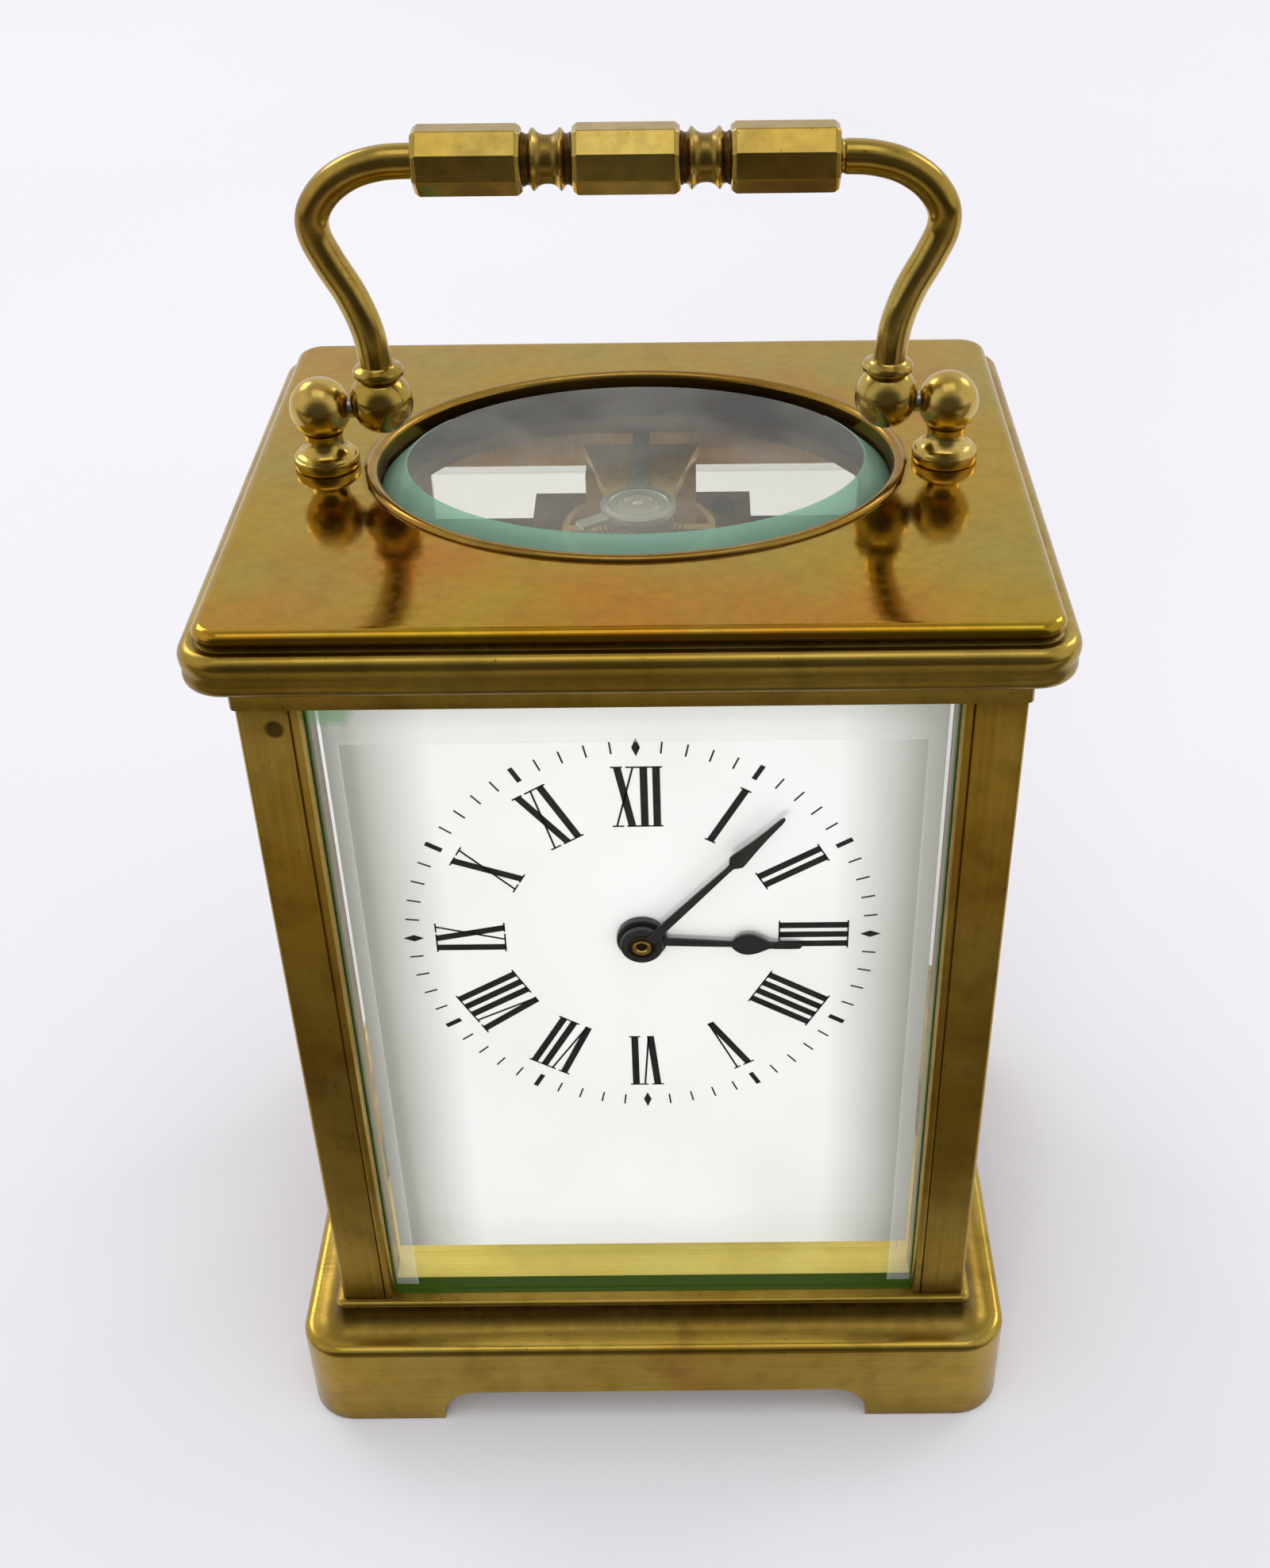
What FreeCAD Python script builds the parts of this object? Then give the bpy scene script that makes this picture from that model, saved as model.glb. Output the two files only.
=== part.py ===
import FreeCAD, Part
import math
import os
import re

import Sketcher

# Carriage clock. Millimetres, +Z up, dial facing -Y, origin at the bottom centre of the base.
# Every named size below becomes a cell of the sheet; other sizes are worked out from these.
SIZES = {
    # base moulding, seen in plan as a rounded rectangle
    "base_length": 82.0, "base_depth": 69.0, "base_corner": 5.0,
    "foot_height": 5.0, "foot_length": 16.0, "foot_arch": 4.0, "foot_wall": 4.0,
    "block_top": 11.6, "block_round": 1.1, "base_top": 16.0,
    "floor_thick": 3.0, "floor_length": 58.0, "floor_depth": 45.0, "floor_ledge": 2.0,
    # corner pillars and the glazing between them
    "body_length": 72.0, "body_depth": 59.0, "pillar_side": 5.9, "pillar_top": 98.4,
    "pillar_bead": 0.8, "pillar_round": 0.6,
    "glass_thick": 1.4, "glass_set_back": 1.5, "glass_groove": 1.0, "glass_play": 0.1,
    "glass_bevel": 2.7, "glass_bevel_top": 5.2, "glass_bevel_drop": 0.5,
    # top frame: fascia, cornice and plate with an oval light
    "fascia_over": 1.2, "fascia_top": 101.3, "fascia_corner": 2.6,
    "cornice_over": 4.0, "cornice_top": 105.2, "cornice_corner": 5.0, "cornice_round": 1.2,
    "plate_over": 2.4, "plate_top": 107.0, "plate_corner": 4.0, "plate_round": 0.5,
    "top_room_length": 58.0, "top_room_depth": 53.0, "top_room_top": 101.5,
    "oval_y": 1.6, "oval_ledge_top": 103.0, "oval_light_x": 24.4, "oval_light_y": 18.7,
    "oval_glass_x": 25.6, "oval_glass_y": 19.95, "oval_flat_x": 23.0, "oval_flat_y": 16.7,
    "oval_edge_top": 105.1, "oval_glass_top": 107.4,
    "bezel_x": 27.05, "bezel_y": 21.4, "bezel_wide": 1.3, "bezel_bottom": 105.6,
    "bezel_rise": 0.45, "bezel_round": 0.5,
    # carrying handle
    "handle_y": 1.2, "pivot_z": 113.05, "post_x": 30.85, "post_disc": 6.5, "post_disc_thick": 1.5,
    "post_neck": 3.5, "post_ball": 6.0, "post_stud": 2.4, "post_stud_deep": 4.0,
    "pivot_pin": 2.0, "pivot_play": 0.05, "knuckle_x": 24.75, "knuckle_up": 0.65,
    "knuckle_ball": 6.2, "knuckle_gap": 0.2, "collar_size": 4.4, "collar_up": 3.3, "collar_thick": 1.1,
    "arm_size": 3.15, "bar_z": 136.9, "bar_half": 19.4, "bar_across": 5.85,
    "bar_end_inner": 9.45, "bar_mid_half": 4.93, "spool_waist": 4.25, "spool_flange": 5.45,
    "spool_band": 4.45,
    # rear door
    "door_half": 29.9, "door_gap": 0.3, "door_thick": 3.0, "door_back": 29.7, "door_stile": 5.0,
    "door_glass_over": 1.0, "hinge_x": 28.4, "hinge_y": 28.2, "hinge_pin": 1.6, "hinge_pin_long": 4.0,
    "knob_z": 57.0, "knob_size": 4.4, "knob_long": 4.0,
    # movement plates and pillars
    "plate_half": 24.0, "plate_bottom": 16.0, "movement_top": 92.0, "plate_thick": 2.0,
    "front_plate_y": -15.5, "back_plate_y": 16.0, "column_size": 5.0, "column_x": 20.0,
    "column_low": 25.0, "column_high": 86.0, "screw_head": 3.6, "screw_shank": 2.0,
    # dial and hands
    "dial_y": -24.0, "dial_z": 66.05, "dial_half": 29.7, "dial_bottom": 18.9, "dial_top": 97.8,
    "dial_thick": 0.8, "dial_hole": 2.3,
    "minute_hand_long": 20.5, "hour_hand_long": 16.4, "hand_thick": 0.4,
    "minute_angle": 43.0, "hour_angle": 93.6,
    # going train
    "barrel_z": 45.89, "barrel_size": 32.4, "barrel_front": -12.0, "barrel_back": 9.0,
    "barrel_wall": 1.2, "barrel_teeth_thick": 2.5, "barrel_arbor_size": 6.0,
    "barrel_pivot": 3.0, "wind_square": 3.0, "wind_square_end": 24.5,
    "set_square": 2.4, "set_square_end": 24.5,
    "third_x": -5.55, "third_z": 80.31, "contrate_x": 7.2, "contrate_z": 80.0,
    "arbor_size": 1.8, "pivot_size": 0.9, "pivot_clearance": 0.05,
    "ratchet_size": 13.0, "click_x": 9.6, "click_z": 52.0,
    # platform escapement
    "platform_thick": 1.5, "platform_half": 12.0, "platform_front": -17.5, "platform_back": 21.0,
    "balance_y": 4.5, "balance_size": 16.0, "balance_z": 97.1, "balance_rim": 0.7,
    "cock_bottom": 98.7, "cock_thick": 1.2, "cock_back": 20.0, "index_size": 7.9,
    "escape_y": -3.5, "escape_size": 7.4, "escape_z": 94.5, "lever_x": 4.2, "lever_y": -0.3,
}

doc = FreeCAD.newDocument("CarriageClock")
sheet = doc.addObject("Spreadsheet::Sheet", "Size")
for row, (alias, size) in enumerate(SIZES.items(), start=1):
    sheet.set(f"A{row}", alias)
    sheet.set(f"B{row}", str(size))
    sheet.setAlias(f"B{row}", alias)
doc.recompute()

NODES = {}
WORD = re.compile(r"\b[a-z]+(?:_[a-z]+)+\b")


def bound(text):
    """The sheet expression for arithmetic written with the names of sizes."""
    return WORD.sub(lambda name: "Size." + name.group(0), str(text))


def value(text):
    """The number that arithmetic on the names of sizes comes to."""
    return float(sheet.evalExpression(bound(text)))


def drive(thing, **properties):
    """Binds properties of a document object to the sheet."""
    for name, text in properties.items():
        thing.setExpression(name, bound(text))


def place(thing, x="0", y="0", z="0", axis=(0, 0, 1), angle=0.0):
    """Turns a document object about an axis and binds its position to the sheet."""
    thing.Placement = FreeCAD.Placement(
        FreeCAD.Vector(value(x), value(y), value(z)),
        FreeCAD.Rotation(FreeCAD.Vector(*axis), angle),
    )
    for letter, text in zip("xyz", (x, y, z)):
        thing.setExpression(f"Placement.Base.{letter}", bound(text))
    return thing


def node(thing, name):
    """Marks a document object as one finished piece of the clock."""
    thing.Label = name
    NODES[name] = thing
    return thing


# ---------------------------------------------------------------- sketches and features

def new_body(name):
    return doc.addObject("PartDesign::Body", name)


def arc_middle(start, end, radius, side):
    """The middle point of the shorter arc between two points, bulging to the left (1) or right (-1)."""
    chord = FreeCAD.Vector(end[0] - start[0], end[1] - start[1], 0)
    half = chord.Length / 2
    rise = radius - math.sqrt(max(radius * radius - half * half, 0.0))
    left = FreeCAD.Vector(-chord.y, chord.x, 0).normalize()
    middle = FreeCAD.Vector((start[0] + end[0]) / 2, (start[1] + end[1]) / 2, 0)
    return middle + left * (rise * side)


def hold_point(sketch, edge, end, across, up):
    """Fixes one point of a sketch edge at a place bound to the sheet."""
    for kind, text in (("DistanceX", across), ("DistanceY", up)):
        index = sketch.addConstraint(Sketcher.Constraint(kind, -1, 1, edge, end, value(text)))
        sketch.setExpression(f"Constraints[{index}]", bound(text))


def add_outline(sketch, corners):
    """Closed outline. A corner is (across, up), or (across, up, radius, side) when an arc leaves it."""
    points = [(value(corner[0]), value(corner[1])) for corner in corners]
    first = sketch.GeometryCount
    starts = []
    for index, corner in enumerate(corners):
        start = FreeCAD.Vector(*points[index], 0)
        end = FreeCAD.Vector(*points[(index + 1) % len(points)], 0)
        if len(corner) == 2:
            sketch.addGeometry(Part.LineSegment(start, end))
            starts.append(1)
            continue
        middle = arc_middle(start, end, value(corner[2]), corner[3])
        edge = sketch.addGeometry(Part.Arc(start, middle, end))
        starts.append(1 if sketch.getPoint(edge, 1).distanceToPoint(start) < 1e-6 else 2)
        index = sketch.addConstraint(Sketcher.Constraint("Radius", edge, value(corner[2])))
        sketch.setExpression(f"Constraints[{index}]", bound(corner[2]))
    for index in range(len(corners)):
        following = (index + 1) % len(corners)
        joined = Sketcher.Constraint(
            "Coincident", first + index, 3 - starts[index], first + following, starts[following]
        )
        sketch.addConstraint(joined)
    for index, corner in enumerate(corners):
        hold_point(sketch, first + index, starts[index], corner[0], corner[1])


def add_circle(sketch, across, up, radius):
    centre = FreeCAD.Vector(value(across), value(up), 0)
    edge = sketch.addGeometry(Part.Circle(centre, FreeCAD.Vector(0, 0, 1), value(radius)))
    index = sketch.addConstraint(Sketcher.Constraint("Radius", edge, value(radius)))
    sketch.setExpression(f"Constraints[{index}]", bound(radius))
    hold_point(sketch, edge, 3, across, up)


def new_sketch(body, name, role, offset="0", outlines=(), circles=()):
    """Sketch on a base plane of the body. XY looks along Z, XZ has its normal along -Y, YZ along +X."""
    sketch = body.newObject("Sketcher::SketchObject", name)
    plane = next(item for item in body.Origin.OriginFeatures if item.Role == role)
    sketch.AttachmentSupport = [(plane, "")]
    sketch.MapMode = "FlatFace"
    sketch.setExpression("AttachmentOffset.Base.z", bound(offset))
    for corners in outlines:
        add_outline(sketch, corners)
    for across, up, radius in circles:
        add_circle(sketch, across, up, radius)
    return sketch


def rectangle(left, right, low, high):
    return [(left, low), (right, low), (right, high), (left, high)]


def rounded_rectangle(half_x, half_y, radius):
    """Outline about the origin, with round corners; every text is arithmetic on sizes."""
    inner_x, inner_y = f"({half_x} - ({radius}))", f"({half_y} - ({radius}))"
    return [
        (f"-{inner_x}", f"-({half_y})"),
        (inner_x, f"-({half_y})", radius, -1),
        (half_x, f"-{inner_y}"),
        (half_x, inner_y, radius, -1),
        (inner_x, half_y),
        (f"-{inner_x}", half_y, radius, -1),
        (f"-({half_x})", inner_y),
        (f"-({half_x})", f"-{inner_y}", radius, -1),
    ]


def pad(body, sketch, length, reverse=False):
    feature = body.newObject("PartDesign::Pad", sketch.Name + "Pad")
    feature.Profile = sketch
    feature.Reversed = reverse
    drive(feature, Length=length)
    doc.recompute()
    return feature


def pocket(body, sketch, length, reverse=False):
    before = body.Tip.Shape.Volume
    feature = body.newObject("PartDesign::Pocket", sketch.Name + "Pocket")
    feature.Profile = sketch
    feature.Reversed = reverse
    drive(feature, Length=length)
    doc.recompute()
    if feature.Shape.Volume > before - 1e-3:
        raise RuntimeError(f"{feature.Name} cuts nothing")
    return feature


def turned(name, corners):
    """Body turned about its own Z axis from an outline of (radius, height) corners."""
    body = new_body(name)
    sketch = new_sketch(body, name + "Half", "XZ_Plane", outlines=[corners])
    feature = body.newObject("PartDesign::Revolution", name + "Turn")
    feature.Profile = sketch
    feature.ReferenceAxis = (sketch, ["V_Axis"])
    feature.Angle = 360
    doc.recompute()
    return body


def fillet(body, radius, chosen):
    """Rounds the edges of the body's tip for which chosen(edge) is true."""
    base = body.Tip
    names = [f"Edge{n}" for n, edge in enumerate(base.Shape.Edges, start=1) if chosen(edge)]
    feature = body.newObject("PartDesign::Fillet", f"{body.Name}Round{len(body.Group)}")
    feature.Base = (base, names)
    drive(feature, Radius=radius)
    doc.recompute()
    return feature


def at_height(z):
    """Chooses the edges that lie wholly at one height."""
    level = value(z)
    return lambda edge: abs(edge.BoundBox.ZMin - level) < 1e-4 and abs(edge.BoundBox.ZMax - level) < 1e-4


def cylinder(name, radius, height):
    thing = doc.addObject("Part::Cylinder", name)
    drive(thing, Radius=radius, Height=height)
    return thing


def box(name, length, width, height):
    thing = doc.addObject("Part::Box", name)
    drive(thing, Length=length, Width=width, Height=height)
    return thing


def ball(name, radius):
    thing = doc.addObject("Part::Sphere", name)
    drive(thing, Radius=radius)
    return thing


def fuse(name, *things):
    joined = doc.addObject("Part::MultiFuse", name)
    joined.Shapes = list(things)
    doc.recompute()
    return joined


def cut(name, base, *tools):
    tool = tools[0] if len(tools) == 1 else fuse(name + "Tools", *tools)
    thing = doc.addObject("Part::Cut", name)
    thing.Base = base
    thing.Tool = tool
    doc.recompute()
    return thing


def oval(name, half_x, half_y, low, high):
    """Upright column of oval section standing from one height to another."""
    rim = doc.addObject("Part::Ellipse", name + "Rim")
    drive(rim, MajorRadius=half_x, MinorRadius=half_y)
    place(rim, "0", "oval_y", low)
    column = doc.addObject("Part::Extrusion", name)
    column.Base = rim
    column.DirMode = "Custom"
    column.Dir = FreeCAD.Vector(0, 0, 1)
    column.Solid = True
    drive(column, LengthFwd=f"({high}) - ({low})")
    doc.recompute()
    return column


def shaped(name, shape, x="0", y="0", z="0", axis=(0, 0, 1), angle=0.0):
    """Feature holding a shape made by Part functions, for outlines with no matching primitive."""
    thing = doc.addObject("Part::Feature", name)
    thing.Shape = shape
    return place(thing, x, y, z, axis, angle)


TO_FRONT = {"axis": (1, 0, 0), "angle": 90.0}  # local Z points to the front (-Y), local Y points up
TO_BACK = {"axis": (0, 1, 1), "angle": 180.0}  # local Z points to the back (+Y), local Y points up


# ---------------------------------------------------------------- case: base, pillars, top

def make_base():
    """Moulded base ring: bracket feet, upright block with a round arris, cavetto up to the pillars."""
    body = new_body("base_moulding")
    block = new_sketch(
        body, "BaseBlock", "XY_Plane",
        outlines=[rounded_rectangle("base_length / 2", "base_depth / 2", "base_corner")],
    )
    pad(body, block, "block_top")
    fillet(body, "block_round", at_height("block_top"))
    step = "(base_length - body_length) / 2"
    for name, inset, low, corner in (
        ("BaseStepA", "0.36", "block_top", "base_corner - 1.6"),
        ("BaseStepB", "0.93", "block_top + 2.9", "base_corner - 3.4"),
    ):
        outline = rounded_rectangle(
            f"base_length / 2 - {step} * {inset}", f"base_depth / 2 - {step} * {inset}", corner
        )
        layer = new_sketch(body, name, "XY_Plane", low, outlines=[outline])
        pad(body, layer, "2.9" if name == "BaseStepA" else "base_top - block_top - 2.9")
    half_x, half_y = "floor_length / 2", "floor_depth / 2"
    well = new_sketch(
        body, "BaseWell", "XY_Plane", "base_top",
        outlines=[rectangle("-" + half_x, half_x, "-" + half_y, half_y)],
    )
    pocket(body, well, "floor_thick")
    low_x, low_y = f"({half_x} - floor_ledge)", f"({half_y} - floor_ledge)"
    shaft = new_sketch(
        body, "BaseShaft", "XY_Plane", "base_top",
        outlines=[rectangle("-" + low_x, low_x, "-" + low_y, low_y)],
    )
    pocket(body, shaft, "base_top - foot_height")
    under_x, under_y = "(base_length / 2 - foot_wall)", "(base_depth / 2 - foot_wall)"
    under = new_sketch(
        body, "BaseUnder", "XY_Plane", outlines=[rectangle("-" + under_x, under_x, "-" + under_y, under_y)]
    )
    pocket(body, under, "foot_height", reverse=True)
    for name, role, half in (
        ("FootArchFront", "XZ_Plane", "(base_length / 2 - foot_length)"),
        ("FootArchSide", "YZ_Plane", "(base_depth / 2 - foot_length)"),
    ):
        arch = [
            (f"-{half}", "0"),
            (half, "0"),
            (half, "foot_height - foot_arch", "foot_arch", -1),
            (f"{half} - foot_arch", "foot_height"),
            (f"-{half} + foot_arch", "foot_height", "foot_arch", -1),
            (f"-{half}", "foot_height - foot_arch"),
        ]
        side = "base_depth" if role == "XZ_Plane" else "base_length"
        sketch = new_sketch(body, name, role, f"-{side} / 2 - 1", outlines=[arch])
        pocket(body, sketch, f"{side} + 2", reverse=True)
    holes = [(x, y, "screw_shank / 2 + 0.05") for x in PILLAR_X for y in PILLAR_Y]
    screws = new_sketch(body, "PillarScrewHoles", "XY_Plane", circles=holes)
    pocket(body, screws, "base_top", reverse=True)
    hinge = new_sketch(
        body, "HingeHole", "XY_Plane", "base_top", circles=[("hinge_x", "hinge_y", "hinge_pin / 2")]
    )
    pocket(body, hinge, "hinge_pin_long / 2")
    node(body, "base_moulding")


def make_pillars():
    """Four square pillars, grooved for the panes, with a beaded inner arris and a round outer one."""
    for side_x, across in (("left", -1), ("right", 1)):
        for side_y, deep in (("front", -1), ("rear", 1)):
            name = f"pillar_{side_y}_{side_x}"
            body = new_body(name)
            section = PILLAR_SECTION[side_y]
            sketch = new_sketch(body, name + "Section", "XY_Plane", outlines=[section(across, deep)])
            pad(body, sketch, "pillar_top - base_top")
            hole = new_sketch(body, name + "Screw", "XY_Plane", circles=[("0", "0", "screw_shank / 2")])
            pocket(body, hole, "12", reverse=True)
            place(
                body,
                f"{across} * (body_length - pillar_side) / 2",
                f"{deep} * (body_depth - pillar_side) / 2",
                "base_top",
            )
            node(body, name)


def section_text(across, deep, points):
    """Mirrors an outline given for the +X, +Y pillar into the wanted corner, kept anticlockwise."""
    mirrored = []
    for point in points:
        text = (f"{across} * ({point[0]})", f"{deep} * ({point[1]})")
        if len(point) == 4:
            text += (point[2], point[3] * across * deep)
        mirrored.append(text)
    return mirrored


def front_section(across, deep):
    """Section of a front pillar about its own axis: +X out to the side, +Y out to the front face."""
    half = "pillar_side / 2"
    pane = f"({half} - glass_set_back + glass_play)"
    pane_back = f"({half} - glass_set_back - glass_thick - glass_play)"
    side_pane = f"({half} - glass_set_back + glass_play)"
    side_back = f"({half} - glass_set_back - glass_thick - glass_play)"
    points = [
        (f"-{half}", f"-{half}"),
        (side_back, f"-{half}"), (side_back, f"-{half} + glass_groove"),
        (side_pane, f"-{half} + glass_groove"), (side_pane, f"-{half}"),
        (half, f"-{half}"),
        (half, f"{half} - pillar_round", "pillar_round", -1),
        (f"{half} - pillar_round", half),
        (f"-{half} + pillar_bead", half),
        (f"-{half}", f"{half} - pillar_bead * 0.6"),
        (f"-{half}", pane), (f"-{half} + glass_groove", pane),
        (f"-{half} + glass_groove", pane_back), (f"-{half}", pane_back),
    ]
    return section_text(across, deep, points)


def rear_section(across, deep):
    """Section of a rear pillar: grooved for the side pane only, cut back where the door turns."""
    half = "pillar_side / 2"
    side_pane = f"({half} - glass_set_back + glass_play)"
    side_back = f"({half} - glass_set_back - glass_thick - glass_play)"
    points = [
        (f"-{half}", f"-{half}"),
        (side_back, f"-{half}"), (side_back, f"-{half} + glass_groove"),
        (side_pane, f"-{half} + glass_groove"), (side_pane, f"-{half}"),
        (half, f"-{half}"),
        (half, f"{half} - pillar_round", "pillar_round", -1),
        (f"{half} - pillar_round", half),
        (f"-{half} + pillar_bead", half),
        (f"-{half}", f"{half} - pillar_bead"),
    ]
    return section_text(across, deep, points)


PILLAR_SECTION = {"front": front_section, "rear": rear_section}
PILLAR_X = ("-(body_length - pillar_side) / 2", "(body_length - pillar_side) / 2")
PILLAR_Y = ("-(body_depth - pillar_side) / 2", "(body_depth - pillar_side) / 2")


def make_top_frame():
    """Fascia, cornice and plate in one casting, with a room beneath and a stepped oval light."""
    body = new_body("TopBlock")
    layers = (
        ("Fascia", "fascia_over", "fascia_corner", "pillar_top", "fascia_top"),
        ("Cornice", "cornice_over", "cornice_corner", "fascia_top", "cornice_top"),
        ("Plate", "plate_over", "plate_corner", "cornice_top", "plate_top"),
    )
    for name, over, corner, low, high in layers:
        outline = rounded_rectangle(f"body_length / 2 + {over}", f"body_depth / 2 + {over}", corner)
        sketch = new_sketch(body, name, "XY_Plane", low, outlines=[outline])
        pad(body, sketch, f"{high} - {low}")
    outer = value("body_length / 2 + plate_over") + 0.1
    fillet(body, "plate_round", at_height("plate_top"))
    top_edges = at_height("cornice_top")
    fillet(body, "cornice_round", lambda edge: top_edges(edge) and edge_beyond(edge, outer))
    low_edges = at_height("fascia_top")
    fillet(body, "plate_round", lambda edge: low_edges(edge) and edge_beyond(edge, outer))
    half_x, half_y = "top_room_length / 2", "top_room_depth / 2"
    room = new_sketch(
        body, "TopRoom", "XY_Plane", "pillar_top",
        outlines=[rectangle("-" + half_x, half_x, "-" + half_y, half_y)],
    )
    pocket(body, room, "top_room_top - pillar_top", reverse=True)
    studs = [(f"{side} * post_x", "handle_y", "post_stud / 2") for side in (-1, 1)]
    posts = new_sketch(body, "PostHoles", "XY_Plane", "plate_top", circles=studs)
    pocket(body, posts, "post_stud_deep + 0.2")
    hinge = new_sketch(
        body, "HingeSocket", "XY_Plane", "pillar_top", circles=[("hinge_x", "hinge_y", "hinge_pin / 2")]
    )
    pocket(body, hinge, "hinge_pin_long / 2", reverse=True)
    light = oval("OvalLight", "oval_light_x", "oval_light_y", "top_room_top - 1", "plate_top + 1")
    seat = oval(
        "OvalSeat", "oval_glass_x + glass_play", "oval_glass_y + glass_play",
        "oval_ledge_top", "plate_top + 1",
    )
    rebate = oval("BezelSeat", "bezel_x", "bezel_y", "bezel_bottom", "plate_top + 1")
    node(cut("top_frame", body, light, seat, rebate), "top_frame")


def edge_beyond(edge, x):
    """True for an edge that reaches further out than x, or further back or forward in proportion."""
    bounds = edge.BoundBox
    reach_x = max(abs(bounds.XMin), abs(bounds.XMax))
    reach_y = max(abs(bounds.YMin), abs(bounds.YMax))
    return reach_x > x or reach_y > x - value("(body_length - body_depth) / 2")


def make_top_light():
    """Raised oval bezel and the thick bevelled glass that it frames."""
    outer = oval("BezelOuter", "bezel_x - 0.05", "bezel_y - 0.05", "bezel_bottom", "plate_top + bezel_rise")
    inner = oval(
        "BezelInner", "bezel_x - bezel_wide", "bezel_y - bezel_wide", "bezel_bottom - 1", "plate_top + 2"
    )
    ring = cut("BezelRing", outer, inner)
    bezel = doc.addObject("Part::Fillet", "oval_bezel")
    bezel.Base = ring
    top = at_height("plate_top + bezel_rise")
    radius = value("bezel_round")
    bezel.Edges = [(n, radius, radius) for n, edge in enumerate(ring.Shape.Edges, start=1) if top(edge)]
    doc.recompute()
    node(bezel, "oval_bezel")
    slab = oval("GlassSlab", "oval_glass_x", "oval_glass_y", "oval_ledge_top", "oval_edge_top")
    rims = []
    for name, half_x, half_y, z in (
        ("BevelLow", "oval_glass_x", "oval_glass_y", "oval_edge_top"),
        ("BevelHigh", "oval_flat_x", "oval_flat_y", "oval_glass_top"),
    ):
        rim = doc.addObject("Part::Ellipse", name)
        drive(rim, MajorRadius=half_x, MinorRadius=half_y)
        rims.append(place(rim, "0", "oval_y", z))
    bevel = doc.addObject("Part::Loft", "GlassBevel")
    bevel.Sections = rims
    bevel.Solid = True
    bevel.Ruled = True
    doc.recompute()
    node(fuse("top_glass", slab, bevel), "top_glass")


def make_panes():
    """Three bevelled panes held in the pillars' grooves, each drawn with its outer face towards +Y."""
    tall = "(pillar_top - base_top - 0.1)"
    behind = "glass_set_back - glass_thick"
    for name, opening, x, y, angle in (
        ("front_glass", "(body_length / 2 - pillar_side)", "0", f"-(body_depth / 2 - {behind})", 180),
        ("left_glass", "(body_depth / 2 - pillar_side)", f"-(body_length / 2 - {behind})", "0", 90),
        ("right_glass", "(body_depth / 2 - pillar_side)", f"body_length / 2 - {behind}", "0", -90),
    ):
        half = f"({opening} + glass_groove - glass_play)"
        slab = box(name + "Slab", f"2 * {half}", "glass_thick - glass_bevel_drop", tall)
        place(slab, "-" + half)
        bevel = doc.addObject("Part::Wedge", name + "Bevel")
        drive(bevel, Xmin="-" + half, Xmax=half, Zmin="0", Zmax=tall)
        drive(bevel, X2min=f"-{opening} + glass_bevel", X2max=f"{opening} - glass_bevel")
        drive(bevel, Z2min="glass_bevel", Z2max=f"{tall} - glass_bevel_top")
        drive(bevel, Ymin="glass_thick - glass_bevel_drop", Ymax="glass_thick")
        pane = fuse(name, slab, bevel)
        node(place(pane, x, y, "base_top", angle=angle), name)


def make_screws(name, shank, head, long, places):
    """Group of equal screws, heads down at the given places, shanks upwards."""
    screws = []
    for number, (x, y, z) in enumerate(places):
        stem = cylinder(f"{name}Shank{number}", f"{shank} / 2", long)
        cap = cylinder(f"{name}Head{number}", f"{head} / 2", "0.8")
        slot = box(f"{name}Slot{number}", head, "0.4", "0.3")
        place(slot, f"-{head} / 2", "-0.2")
        place(stem, z="0.8")
        screw = cut(f"{name}{number}", fuse(f"{name}Blank{number}", stem, cap), slot)
        screws.append(place(screw, x, y, z))
    return screws


def group(name, things):
    """Several separate solids kept as one piece."""
    joined = doc.addObject("Part::Compound", name)
    joined.Links = things
    doc.recompute()
    return node(joined, name)


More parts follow.
